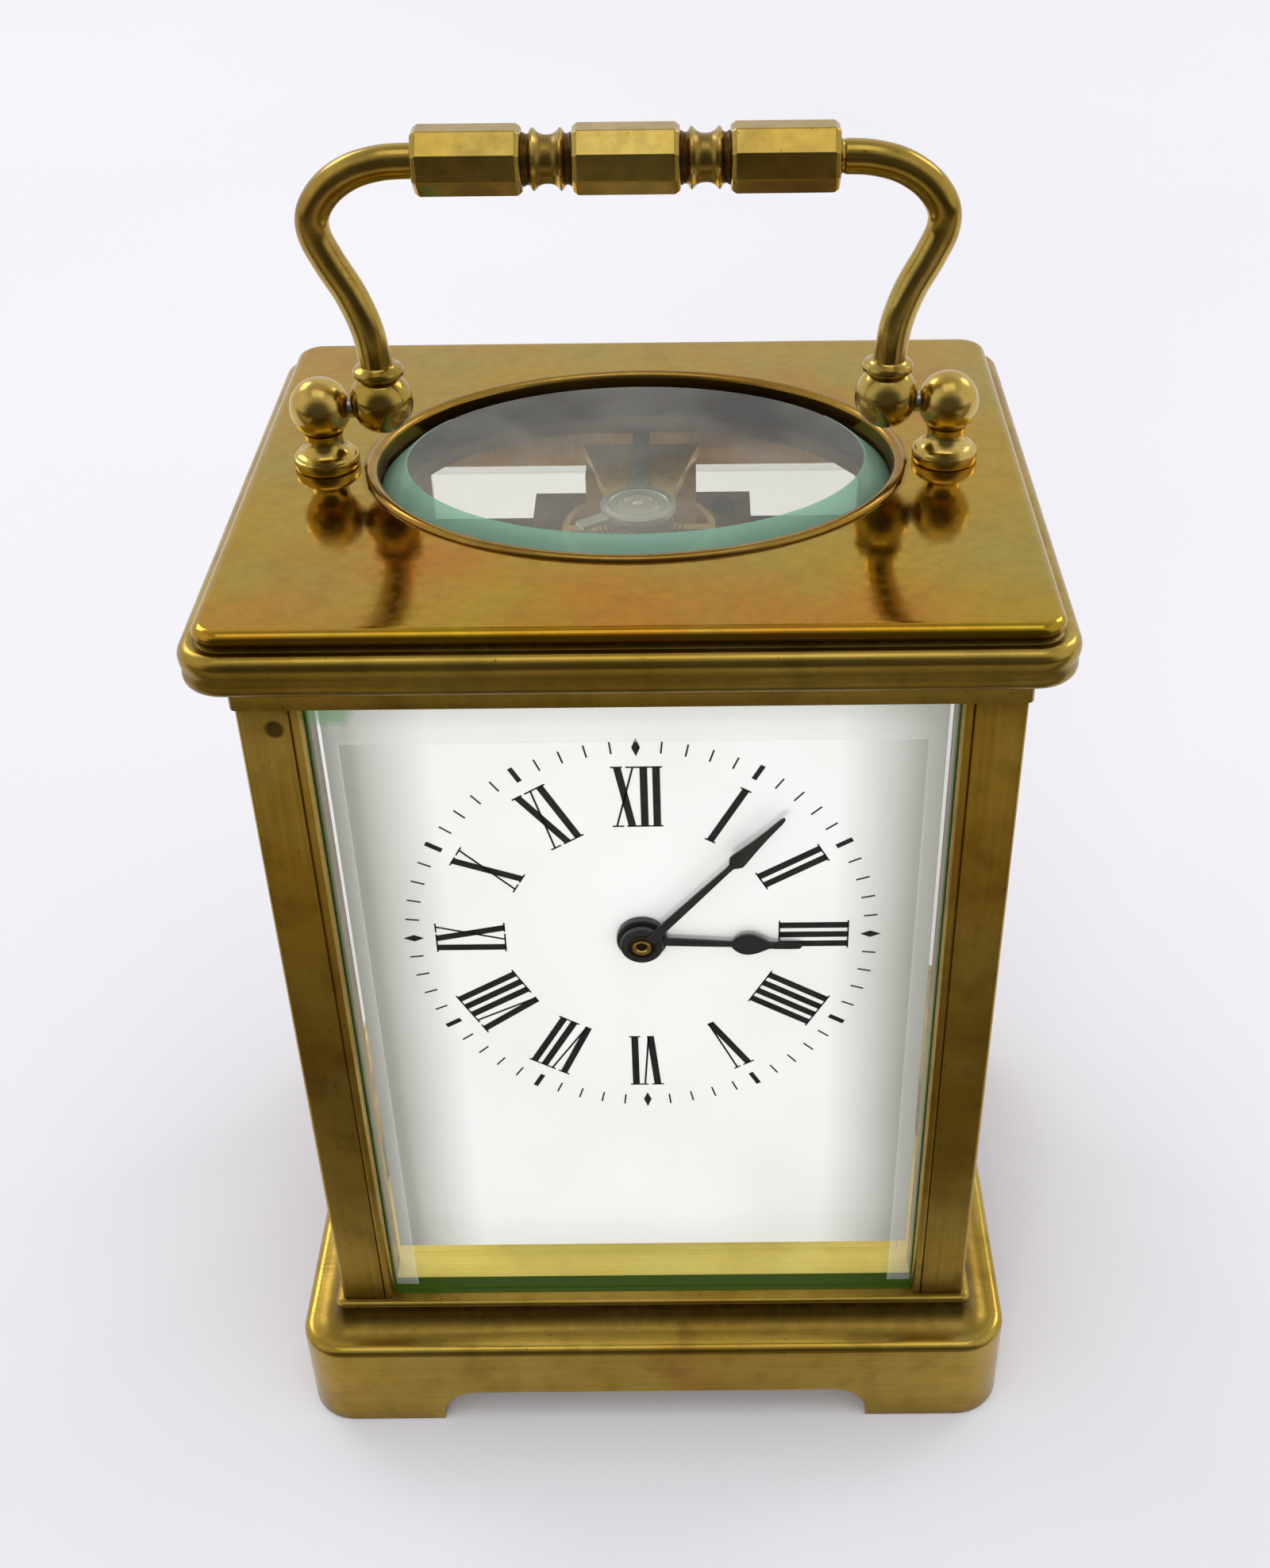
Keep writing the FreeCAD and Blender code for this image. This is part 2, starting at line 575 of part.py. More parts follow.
def make_small_case_parts():
    """Floor plate, pillar screws, handle posts and their pins, door hinge pins."""
    floor = box("FloorPlate", "floor_length - 0.1", "floor_depth - 0.1", "floor_thick")
    place(floor, "-(floor_length - 0.1) / 2", "-(floor_depth - 0.1) / 2", "base_top - floor_thick")
    holes = []
    for side in (-1, 1):
        for y in ("front_plate_y - plate_thick / 2", "back_plate_y + plate_thick / 2"):
            hole = cylinder(f"SeatHole{len(holes)}", "screw_shank / 2", "floor_thick + 2")
            holes.append(place(hole, f"{side} * column_x", y, "base_top - floor_thick - 1"))
    node(cut("base_floor", floor, *holes), "base_floor")
    places = [(x, y, "foot_height - 0.8") for x in PILLAR_X for y in PILLAR_Y]
    group("pillar_screws", make_screws("PillarScrew", "screw_shank", "screw_head", "22", places))
    seats = [
        (f"{side} * column_x", y, "base_top - floor_thick - 0.8")
        for side in (-1, 1)
        for y in ("front_plate_y - plate_thick / 2", "back_plate_y + plate_thick / 2")
    ]
    group("seat_screws", make_screws("SeatScrew", "screw_shank", "3.4", "7", seats))
    for name, side in (("handle_post_left", -1), ("handle_post_right", 1)):
        neck_low, neck_high = "post_disc_thick", "(pivot_z - plate_top - 2.3)"
        post = turned(name + "Turning", [
            ("0", "-post_stud_deep"), ("post_stud / 2", "-post_stud_deep"), ("post_stud / 2", "0"),
            ("post_disc / 2 - 0.25", "0"), ("post_disc / 2", "0.25", "1.2", -1),
            ("post_disc / 2 - 0.25", f"{neck_low}"), ("post_disc / 2 - 0.8", neck_low, "1.9", 1),
            ("post_neck / 2", f"({neck_low} + {neck_high}) / 2", "2.2", 1),
            ("post_neck / 2 + 0.35", neck_high), ("0", neck_high),
        ])
        head = place(ball(name + "Ball", "post_ball / 2"), z="pivot_z - plate_top")
        face = box(name + "Face", "3", "10", "10")
        flat = "post_x - knuckle_x - knuckle_ball / 2 + 0.1 + knuckle_gap"
        place(face, f"-({flat}) - 3" if side > 0 else flat, "-5", "pivot_z - plate_top - 5")
        bore = cylinder(name + "Bore", "pivot_pin / 2", "12")
        place(bore, "-6", "0", "pivot_z - plate_top", axis=(0, 1, 0), angle=90)
        piece = cut(name, fuse(name + "Blank", post, head), face, bore)
        node(place(piece, f"{side} * post_x", "handle_y", "plate_top"), name)
    pins = []
    for side in (-1, 1):
        pin = cylinder(f"PivotPin{side + 1}", "pivot_pin / 2", "post_x - knuckle_x + 3")
        x = "-(post_x + 2.2)" if side < 0 else "knuckle_x - 0.8"
        pins.append(place(pin, x, "handle_y", "pivot_z", axis=(0, 1, 0), angle=90))
    group("handle_pivot_pins", pins)
    pins = []
    for name, z in (
        ("HingePinLow", "base_top - hinge_pin_long / 2"),
        ("HingePinHigh", "pillar_top - hinge_pin_long / 2"),
    ):
        pin = cylinder(name, "hinge_pin / 2", "hinge_pin_long")
        pins.append(place(pin, "hinge_x", "hinge_y", z))
    group("door_hinge_pins", pins)


# ---------------------------------------------------------------- carrying handle and rear door

ARM_LINE = (  # how far out from the knuckle's line, and how far above the pivot, the arm's centre runs
    (0.15, 4.3), (0.55, 7.8), (1.7, 11.3), (3.4, 14.6), (4.45, 17.2), (4.3, 19.3),
    (2.8, 21.4), (0.4, 22.95), (-2.4, 23.7), (-5.35, 23.85),
)


def make_handle():
    """Two swan-neck arms with ball knuckles, and the faceted bar between them."""
    for name, side in (("handle_arm_left", -1), ("handle_arm_right", 1)):
        points = [FreeCAD.Vector(side * (24.75 + out), 0, up) for out, up in ARM_LINE]
        curve = Part.BSplineCurve()
        curve.interpolate(points)
        line = shaped(name + "Line", curve.toShape())
        start = doc.addObject("Part::Circle", name + "Section")
        drive(start, Radius="arm_size / 2")
        place(start, f"{side} * (knuckle_x + 0.15)", "0", "4.3")
        arm = doc.addObject("Part::Sweep", name + "Swan")
        arm.Sections = [start]
        arm.Spine = (line, ["Edge1"])
        arm.Solid = True
        collar = turned(name + "Collar", [
            ("0", "0"), ("1.7", "0"), ("collar_size / 2", "0.3", "0.5", -1),
            ("collar_size / 2", "collar_thick - 0.2", "0.4", -1), ("arm_size / 2", "collar_thick + 0.15"),
            ("0", "collar_thick + 0.15"),
        ])
        place(collar, f"{side} * knuckle_x", "0", "collar_up")
        neck = cylinder(name + "Neck", "1.7", "2")
        place(neck, f"{side} * knuckle_x", "0", "collar_up - 1.5")
        knuckle = place(ball(name + "Knuckle", "knuckle_ball / 2"), f"{side} * knuckle_x", "0", "knuckle_up")
        blank = fuse(name + "Blank", arm, collar, neck, knuckle)
        face = box(name + "Face", "3", "10", "10")
        flat = "(knuckle_x + knuckle_ball / 2 - 0.1)"
        place(face, flat if side > 0 else f"-{flat} - 3", "-5", "-5")
        bore = cylinder(name + "Bore", "pivot_pin / 2 + pivot_play", "5")
        x = "knuckle_x - 1" if side > 0 else "-(knuckle_x - 1) - 5"
        place(bore, x, "0", "0", axis=(0, 1, 0), angle=90)
        node(place(cut(name, blank, face, bore), "0", "handle_y", "pivot_z"), name)
    sections = []
    for name, low, high in (
        ("BarLeft", "-bar_half", "-bar_end_inner"),
        ("BarMiddle", "-bar_mid_half", "bar_mid_half"),
        ("BarRight", "bar_end_inner", "bar_half"),
    ):
        prism = doc.addObject("Part::Prism", name)
        prism.Polygon = 8
        drive(prism, Circumradius="bar_across / 2 / cos(22.5 deg)", Height=f"{high} - ({low})")
        prism.Placement = FreeCAD.Placement(
            FreeCAD.Vector(value(low), 0, 0),
            FreeCAD.Rotation(FreeCAD.Vector(0, 1, 0), 90) * FreeCAD.Rotation(FreeCAD.Vector(0, 0, 1), 22.5),
        )
        prism.setExpression("Placement.Base.x", bound(low))
        sections.append(prism)
    gap = "(bar_end_inner - bar_mid_half)"
    for name, x in (("SpoolLeft", "-bar_end_inner"), ("SpoolRight", "bar_mid_half")):
        spool = turned(name, [
            ("0", "-1"), ("spool_band / 2", "-1"), ("spool_band / 2", "0.5"),
            ("spool_flange / 2", "0.85"), ("spool_flange / 2", "1.3"),
            ("spool_waist / 2 + 0.1", f"{gap} / 2 - 0.5"), ("spool_waist / 2", f"{gap} / 2"),
            ("spool_waist / 2 + 0.1", f"{gap} / 2 + 0.5"),
            ("spool_flange / 2", f"{gap} - 1.3"), ("spool_flange / 2", f"{gap} - 0.85"),
            ("spool_band / 2", f"{gap} - 0.5"), ("spool_band / 2", f"{gap} + 1"), ("0", f"{gap} + 1"),
        ])
        sections.append(place(spool, x, "0", "0", axis=(0, 1, 0), angle=90))
    grip = fuse("handle_grip", *sections)
    node(place(grip, "0", "handle_y", "bar_z"), "handle_grip")


def make_door():
    """Rear door: frame round on its hinge edge, pane let in from inside, turned knob."""
    low, high = "(base_top + door_gap)", "(pillar_top - door_gap)"
    inner = "(hinge_y - door_thick / 2)"
    outer = "(hinge_y + door_thick / 2)"
    edge = "(hinge_x + door_thick / 2)"
    body = new_body("DoorFrame")
    plan = [
        ("-door_half", inner),
        ("hinge_x", inner, "door_thick / 2", -1),
        (edge, "hinge_y", "door_thick / 2", -1),
        ("hinge_x", outer), ("-door_half", outer),
    ]
    sketch = new_sketch(body, "DoorPlan", "XY_Plane", low, outlines=[plan])
    pad(body, sketch, f"{high} - {low}")
    opening = rectangle(
        "-door_half + door_stile", "door_half - door_stile", f"{low} + door_stile", f"{high} - door_stile"
    )
    sketch = new_sketch(body, "DoorOpening", "XZ_Plane", f"-{outer} - 1", outlines=[opening])
    pocket(body, sketch, "door_thick + 2", reverse=True)
    rebate = rectangle(
        "-door_half + door_stile - door_glass_over", "door_half - door_stile + door_glass_over",
        f"{low} + door_stile - door_glass_over", f"{high} - door_stile + door_glass_over",
    )
    sketch = new_sketch(body, "DoorRebate", "XZ_Plane", f"-{inner}", outlines=[rebate])
    pocket(body, sketch, "door_thick - 0.9")
    bores = []
    for name, z in (("DoorBoreLow", f"{low} - 1"), ("DoorBoreHigh", f"{high} - 2")):
        bores.append(place(cylinder(name, "hinge_pin / 2 + pivot_play", "3"), "hinge_x", "hinge_y", z))
    knob_hole = cylinder("KnobHole", "0.8", "door_thick + 2")
    place(knob_hole, "-door_half + door_stile / 2 - 0.4", f"{outer} + 1", "knob_z", **TO_FRONT)
    node(cut("door_frame", body, *bores, knob_hole), "door_frame")
    pane = box(
        "door_glass", "2 * (door_half - door_stile + door_glass_over - 0.1)", "glass_thick",
        f"{high} - {low} - 2 * (door_stile - door_glass_over + 0.1)",
    )
    place(
        pane, "-(door_half - door_stile + door_glass_over - 0.1)", f"{outer} - 0.9 - glass_thick",
        f"{low} + door_stile - door_glass_over + 0.1",
    )
    node(pane, "door_glass")
    knob = turned("door_knob", [
        ("0", "-door_thick + 0.4"), ("0.8", "-door_thick + 0.4"), ("0.8", "0"), ("1.6", "0"), ("1.6", "0.4"),
        ("0.9", "0.9"), ("0.9", "1.5"), ("knob_size / 2", "2.2"), ("knob_size / 2", "knob_long - 0.8"),
        ("knob_size / 2 - 0.8", "knob_long"), ("0", "knob_long"),
    ])
    node(place(knob, "-door_half + door_stile / 2 - 0.4", outer, "knob_z", **TO_BACK), "door_knob")


# ---------------------------------------------------------------- wheels

def gear_face(teeth, module, first_angle, leaf=False):
    """Toothed disc outline: straight-flanked clock teeth with backlash, one tooth at first_angle degrees."""
    pitch = teeth * module / 2
    tip = pitch + (0.75 if leaf else 1.05) * module
    root = pitch - (1.35 if leaf else 1.15) * module
    step = 2 * math.pi / teeth
    corners = []
    for tooth in range(teeth):
        middle = math.radians(first_angle) + tooth * step
        for radius, share in ((root, -0.2), (tip, -0.09), (tip, 0.09), (root, 0.2)):
            angle = middle + share * step
            corners.append(FreeCAD.Vector(radius * math.cos(angle), radius * math.sin(angle), 0))
    return Part.Face(Part.makePolygon(corners + corners[:1]))


def gear(teeth, module, thick, first_angle=0.0, bore=0.0, leaf=False, low=0.0):
    solid = gear_face(teeth, module, first_angle, leaf).extrude(FreeCAD.Vector(0, 0, thick))
    if bore:
        solid = solid.cut(rod(bore, -1, thick + 1))
    solid.translate(FreeCAD.Vector(0, 0, low))
    return solid


def crossed_out(solid, inner, outer, arms, thick, low=0.0):
    """Cuts a wheel out to arms between two radii."""
    ring = Part.makeCylinder(outer, thick + 2).cut(Part.makeCylinder(inner, thick + 2))
    width = 1.6
    for arm in range(arms):
        spoke = Part.makeBox(outer + 1, width, thick + 2, FreeCAD.Vector(0, -width / 2, 0))
        spoke.rotate(FreeCAD.Vector(), FreeCAD.Vector(0, 0, 1), 360.0 * arm / arms)
        ring = ring.cut(spoke)
    ring.translate(FreeCAD.Vector(0, 0, low - 1))
    return solid.cut(ring)


def rod(radius, low, high):
    return Part.makeCylinder(radius, high - low, FreeCAD.Vector(0, 0, low))


def square_bar(side, low, high):
    return Part.makeBox(side, side, high - low, FreeCAD.Vector(-side / 2, -side / 2, low))


def joined(*solids):
    return solids[0].fuse(list(solids[1:])).removeSplitter()


def towards(x, z, other_x, other_z):
    """Direction in degrees from one arbor to another, seen from the front."""
    return math.degrees(math.atan2(value(other_z) - value(z), value(other_x) - value(x)))


# Teeth and modules of each pair: driver teeth, driven leaves, module
BARREL_PAIR = (84, 12, 0.42)
CENTRE_PAIR = (80, 10, 0.34)
THIRD_PAIR = (75, 10, 0.30)
CONTRATE_TEETH, ESCAPE_LEAVES = 80, 8
CANNON_PAIR = (30, 10, 0.50)
HOUR_PAIR = (40, 10, 0.40)
MINUTE_WHEEL_AT = (-7.07, -7.07)


def arbor(low, high, shoulder=0.0):
    """Arbor lying along local Z with a pivot into each plate; low and high are the plates' inner faces."""
    body, pivot = value("arbor_size / 2"), value("pivot_size / 2")
    reach = value("plate_thick") - 0.3
    return joined(rod(body, low + 0.15 + shoulder, high - 0.15), rod(pivot, low - reach, high + reach))


def front_at(y):
    """Local height, on an arbor drawn from the back plate forwards, of a place y."""
    return value("back_plate_y") - y


def make_train():
    """Barrel, centre, third and contrate wheels, drawn with local Z from the back plate to the front."""
    back, span = "back_plate_y", value("back_plate_y - front_plate_y")
    up = towards("0", "barrel_z", "0", "dial_z")
    drum_low, drum_high = front_at(value("barrel_back")), front_at(value("barrel_front"))
    teeth, leaves, module = BARREL_PAIR
    drum_radius, wall = value("barrel_size / 2"), value("barrel_wall")
    arbor_radius = value("barrel_arbor_size / 2")
    toothed = value("barrel_teeth_thick")
    rim = gear(teeth, module, toothed, up + 180 / teeth, low=drum_low)
    drum = rim.fuse(rod(drum_radius, drum_low, drum_high))
    drum = drum.cut(rod(drum_radius - wall, drum_low + wall, drum_high + 1))
    drum = drum.cut(rod(value("barrel_pivot / 2 + pivot_clearance"), drum_low - 1, drum_low + wall + 1))
    node(shaped("barrel_drum", drum, "0", back, "barrel_z", **TO_FRONT), "barrel_drum")
    cover = rod(drum_radius - wall, drum_high - wall, drum_high - 0.2)
    cover = cover.cut(rod(value("barrel_pivot / 2 + pivot_clearance"), drum_high - 3, drum_high + 1))
    node(shaped("barrel_cover", cover, "0", back, "barrel_z", **TO_FRONT), "barrel_cover")
    spring = coil_ribbon(
        arbor_radius + 0.6, drum_radius - wall - 0.35, 11, 0.35,
        drum_low + wall + 0.5, drum_high - wall - 0.5,
    )
    node(shaped("mainspring", spring, "0", back, "barrel_z", **TO_FRONT), "mainspring")
    reach = value("plate_thick") - 0.3
    pivot = value("barrel_pivot / 2")
    axle = joined(
        rod(arbor_radius, drum_low + wall + 0.2, drum_high - wall - 0.2),
        rod(pivot, front_at(value("back_plate_y + plate_thick + 1.6")), span + reach),
        square_bar(value("wind_square"), front_at(value("wind_square_end")), -value("plate_thick") - 1.5),
    )
    node(shaped("barrel_arbor", axle, "0", back, "barrel_z", **TO_FRONT), "barrel_arbor")
    ratchet = saw_wheel(
        26, value("ratchet_size / 2"), 1.1, -value("plate_thick") - 1.5, value("barrel_pivot / 2"),
    )
    node(shaped("ratchet_wheel", ratchet, "0", back, "barrel_z", **TO_FRONT), "ratchet_wheel")

    teeth, leaves, module = CENTRE_PAIR
    centre_wheel_at = front_at(12.5)
    to_third = towards("0", "dial_z", "third_x", "third_z")
    pinion = gear(BARREL_PAIR[1], BARREL_PAIR[2], 3.6, up + 180, leaf=True, low=front_at(9.6))
    bore_arbor = joined(
        arbor(0.0, span), pinion,
        rod(value("pivot_size / 2") + 0.35, span - 1, span + value("plate_thick") + 3.4),
        rod(value("set_square / 2"), front_at(value("back_plate_y + plate_thick + 3")), 0.5),
        square_bar(
            value("set_square / 2") * 1.4, front_at(value("set_square_end")), -value("plate_thick") - 2.5,
        ),
    )
    node(shaped("centre_arbor", bore_arbor, "0", back, "dial_z", **TO_FRONT), "centre_arbor")
    wheel = gear(teeth, module, 1.0, to_third + 180 / teeth, value("arbor_size / 2"), low=centre_wheel_at)
    wheel = crossed_out(wheel, 2.6, teeth * module / 2 - 2.2, 5, 1.0, centre_wheel_at)
    node(shaped("centre_wheel", wheel, "0", back, "dial_z", **TO_FRONT), "centre_wheel")

    teeth, leaves, module = THIRD_PAIR
    to_contrate = towards("third_x", "third_z", "contrate_x", "contrate_z")
    pinion = gear(CENTRE_PAIR[1], CENTRE_PAIR[2], 2.4, to_third + 180, leaf=True, low=front_at(13.2))
    third = joined(arbor(0.0, span), pinion)
    node(shaped("third_arbor", third, "third_x", back, "third_z", **TO_FRONT), "third_arbor")
    wheel = gear(teeth, module, 0.8, to_contrate + 180 / teeth, value("arbor_size / 2"), low=front_at(3.8))
    wheel = crossed_out(wheel, 2.4, teeth * module / 2 - 2.0, 5, 0.8, front_at(3.8))
    node(shaped("third_wheel", wheel, "third_x", back, "third_z", **TO_FRONT), "third_wheel")

    pinion = gear(THIRD_PAIR[1], THIRD_PAIR[2], 2.2, to_contrate + 180, leaf=True, low=front_at(4.5))
    fourth = joined(arbor(0.0, span), pinion)
    node(shaped("contrate_arbor", fourth, "contrate_x", back, "contrate_z", **TO_FRONT), "contrate_arbor")
    crown = crown_wheel(CONTRATE_TEETH, 8.2, 9.0, front_at(-1.3), front_at(-1.9), front_at(-2.75))
    node(shaped("contrate_wheel", crown, "contrate_x", back, "contrate_z", **TO_FRONT), "contrate_wheel")


def coil_ribbon(inner, outer, turns, thick, low, high):
    """Spiral strip wound from an inner to an outer radius."""
    steps = turns * 12
    sides = []
    for offset in (-thick / 2, thick / 2):
        points = []
        for step in range(steps + 1):
            angle = 2 * math.pi * turns * step / steps
            radius = inner + (outer - inner) * step / steps + offset
            points.append(FreeCAD.Vector(radius * math.cos(angle), radius * math.sin(angle), low))
        curve = Part.BSplineCurve()
        curve.interpolate(points)
        sides.append((curve.toShape(), points))
    ends = [Part.makeLine(sides[0][1][k], sides[1][1][k]) for k in (0, -1)]
    ribbon = Part.Face(Part.Wire([sides[0][0], ends[1], sides[1][0], ends[0]]))
    return ribbon.extrude(FreeCAD.Vector(0, 0, high - low))


def saw_wheel(teeth, radius, thick, low, bore):
    """Ratchet wheel with one steep and one sloping flank on each tooth."""
    corners = []
    for tooth in range(teeth):
        angle = 2 * math.pi * tooth / teeth
        corners.append(FreeCAD.Vector(radius * math.cos(angle), radius * math.sin(angle), low))
        angle += 2 * math.pi * 0.08 / teeth
        shorter = radius - 0.8
        corners.append(FreeCAD.Vector(shorter * math.cos(angle), shorter * math.sin(angle), low))
    outline = Part.makePolygon(corners + corners[:1])
    return Part.Face(outline).extrude(FreeCAD.Vector(0, 0, thick)).cut(rod(bore, low - 1, low + thick + 1))


def crown_wheel(teeth, inner, outer, low, high, tip):
    """Contrate wheel: a crossed disc whose rim stands up in teeth along the arbor."""
    thick = high - low
    disc = Part.makeCylinder(outer, thick, FreeCAD.Vector(0, 0, low))
    disc = disc.cut(Part.makeCylinder(value("arbor_size / 2"), thick, FreeCAD.Vector(0, 0, low)))
    disc = crossed_out(disc, 2.0, inner - 0.8, 4, thick, low)
    pitch = 2 * math.pi * (inner + outer) / 2 / teeth
    wide = 0.3 * pitch
    blocks = []
    for tooth in range(teeth):
        corner = FreeCAD.Vector(inner + 0.05, -wide / 2, high - 0.05)
        block = Part.makeBox(outer - inner - 0.1, wide, tip - high + 0.05, corner)
        block.rotate(FreeCAD.Vector(), FreeCAD.Vector(0, 0, 1), 90 + 360.0 * (tooth + 0.5) / teeth)
        blocks.append(block)
    return disc.fuse(blocks)


def make_motion_work():
    """Cannon pinion, minute wheel, hour wheel and the two hands, between the front plate and the dial."""
    low = value("plate_thick")
    face = "front_plate_y"
    to_minute = math.degrees(math.atan2(MINUTE_WHEEL_AT[1], MINUTE_WHEEL_AT[0]))
    wheel_teeth, cannon_leaves, module = CANNON_PAIR
    cannon = gear(cannon_leaves, module, 1.3, to_minute, leaf=True, low=low + 0.3)
    cannon = joined(cannon, rod(1.15, low + 0.3, 10.3)).cut(rod(0.8, low, low + 4.5))
    node(shaped("cannon_pinion", cannon, "0", face, "dial_z", **TO_FRONT), "cannon_pinion")
    minute = joined(
        gear(wheel_teeth, module, 0.8, to_minute + 180 + 180 / wheel_teeth, low=low + 0.5),
        gear(HOUR_PAIR[1], HOUR_PAIR[2], 2.0, to_minute + 180, leaf=True, low=low + 1.2),
    ).cut(rod(0.55, 0, 9))
    x, z = str(MINUTE_WHEEL_AT[0]), f"dial_z + ({MINUTE_WHEEL_AT[1]})"
    node(shaped("minute_wheel", minute, x, face, z, **TO_FRONT), "minute_wheel")
    hour_teeth, leaves, module = HOUR_PAIR
    hour = joined(
        gear(hour_teeth, module, 0.8, to_minute + 180 / hour_teeth, low=low + 2.1),
        rod(1.75, low + 2.1, 9.15),
    ).cut(rod(1.23, 0, 12))
    node(shaped("hour_wheel", hour, "0", face, "dial_z", **TO_FRONT), "hour_wheel")


def hand(name, outline, bore, y, angle):
    """Flat hand cut from an outline that points up, then turned clockwise to its place."""
    body = new_body(name + "Blade")
    sketch = new_sketch(body, name + "Outline", "XY_Plane", outlines=[outline])
    pad(body, sketch, "hand_thick")
    boss = cylinder(name + "Boss", f"{bore} + 1.0", "hand_thick")
    hole = place(cylinder(name + "Hole", bore, "2"), z="-1")
    piece = cut(name, fuse(name + "Blank", body, boss), hole)
    piece.Placement = FreeCAD.Placement(
        FreeCAD.Vector(0, value(y), value("dial_z")),
        FreeCAD.Rotation(FreeCAD.Vector(1, 0, 0), 90)
        * FreeCAD.Rotation(FreeCAD.Vector(0, 0, 1), -value(angle)),
    )
    piece.setExpression("Placement.Base.y", bound(y))
    piece.setExpression("Placement.Base.z", bound("dial_z"))
    node(piece, name)


def make_hands():
    long = "minute_hand_long"
    minute = [
        ("-0.75", "-2.5"), ("0.75", "-2.5"), ("0.42", f"{long} * 0.30"), ("0.62", f"{long} * 0.48"),
        ("0.42", f"{long} * 0.62"), ("1.15", f"{long} * 0.72"), ("0.12", long), ("-0.12", long),
        ("-1.15", f"{long} * 0.72"), ("-0.42", f"{long} * 0.62"), ("-0.62", f"{long} * 0.48"),
        ("-0.42", f"{long} * 0.30"),
    ]
    hand("minute_hand", minute, "1.15", "dial_y - 1.0", "minute_angle")
    long = "hour_hand_long"
    hour = [
        ("-0.8", "-2.5"), ("0.8", "-2.5"), ("0.5", f"{long} * 0.5"), ("1.5", f"{long} * 0.62", "1.9", -1),
        ("0.45", f"{long} * 0.78"), ("0.2", long), ("-0.2", long), ("-0.45", f"{long} * 0.78", "1.9", -1),
        ("-1.5", f"{long} * 0.62"), ("-0.5", f"{long} * 0.5"),
    ]
    hand("hour_hand", hour, "1.75", "dial_y - 0.35", "hour_angle")


# ---------------------------------------------------------------- plates, dial and platform

def make_plates():
    """Movement plates bored for every arbor, four columns and their screws."""
    low, high = "plate_bottom", "movement_top"
    for name, y, square in (("front_plate", "front_plate_y", False), ("back_plate", "back_plate_y", True)):
        body = new_body(name)
        start = f"-({y})" if not square else f"-({y} + plate_thick)"
        outline = rectangle("-plate_half", "plate_half", low, high)
        pivot = "pivot_size / 2 + pivot_clearance"
        set_bore = "set_square / 2 + pivot_clearance" if square else "pivot_size / 2 + 0.35 + pivot_clearance"
        circles = [
            ("0", "dial_z", set_bore),
            ("0", "barrel_z", "barrel_pivot / 2 + pivot_clearance"),
            ("third_x", "third_z", pivot), ("contrate_x", "contrate_z", pivot),
        ]
        sketch = new_sketch(body, name + "Outline", "XZ_Plane", start, outlines=[outline], circles=circles)
        pad(body, sketch, "plate_thick")
        mid_plate = f"{y} {'+' if square else '-'} plate_thick / 2"
        seats = [(f"{side} * column_x", mid_plate, "screw_shank / 2") for side in (-1, 1)]
        sketch = new_sketch(body, name + "Seats", "XY_Plane", low, circles=seats)
        pocket(body, sketch, "5", reverse=True)
        screws = [
            (f"{side} * column_x", column, "screw_shank / 2 + 0.05")
            for side in (-1, 1) for column in ("column_low", "column_high")
        ]
        sketch = new_sketch(body, name + "Screws", "XZ_Plane", start, circles=screws)
        pocket(body, sketch, "plate_thick", reverse=True)
        platform = [(f"{side} * 9", mid_plate, "0.6") for side in (-1, 1)]
        sketch = new_sketch(body, name + "Platform", "XY_Plane", high, circles=platform)
        pocket(body, sketch, "3")
        node(body, name)
    columns, screws = [], []
    span = "(back_plate_y - front_plate_y)"
    for side in (-1, 1):
        for z in ("column_low", "column_high"):
            tag = f"{side + 1}{z[-3:].title()}"
            blank = cylinder("Column" + tag, "column_size / 2", span)
            bore = place(cylinder("ColumnBore" + tag, "screw_shank / 2", span + " + 2"), z="-1")
            column = cut("MovementColumn" + tag, blank, bore)
            columns.append(place(column, f"{side} * column_x", "back_plate_y", z, **TO_FRONT))
            for y, turn in (
                ("back_plate_y + plate_thick + 0.8", TO_FRONT),
                ("front_plate_y - plate_thick - 0.8", TO_BACK),
            ):
                screw = make_screws(
                    f"PlateScrew{len(screws)}", "screw_shank", "screw_head", "7", [("0", "0", "0")],
                )[0]
                screws.append(place(screw, f"{side} * column_x", y, z, **turn))
    group("movement_columns", columns)
    group("plate_screws", screws)


def make_dial():
    """Enamel dial on its brass plate, held off the front plate by two pairs of feet."""
    for name, half, low, high, y, thick, hole in (
        ("dial", "dial_half", "dial_bottom", "dial_top", "dial_y", "dial_thick", "dial_hole"),
        (
            "dial_plate", "dial_half - 1", "dial_bottom + 1", "dial_top - 3", "dial_y + dial_thick", "0.8",
            "dial_hole + 0.5",
        ),
    ):
        body = new_body(name)
        outline = rectangle(f"-({half})", half, low, high)
        circles = [("0", "dial_z", hole)]
        sketch = new_sketch(
            body, name + "Sheet", "XZ_Plane", f"-({y}) - {thick}", outlines=[outline], circles=circles,
        )
        pad(body, sketch, thick)
        if name == "dial":
            node(body, name)
            continue
        feet = []
        for side in (-1, 1):
            for z in ("column_low + 6", "column_high - 6"):
                long = f"(front_plate_y - plate_thick) - ({y} + {thick})"
                foot = cylinder(f"DialFoot{len(feet)}", "1.2", long)
                feet.append(place(foot, f"{side} * column_x", "front_plate_y - plate_thick", z, **TO_FRONT))
        node(fuse("dial_plate", body, *feet), "dial_plate")


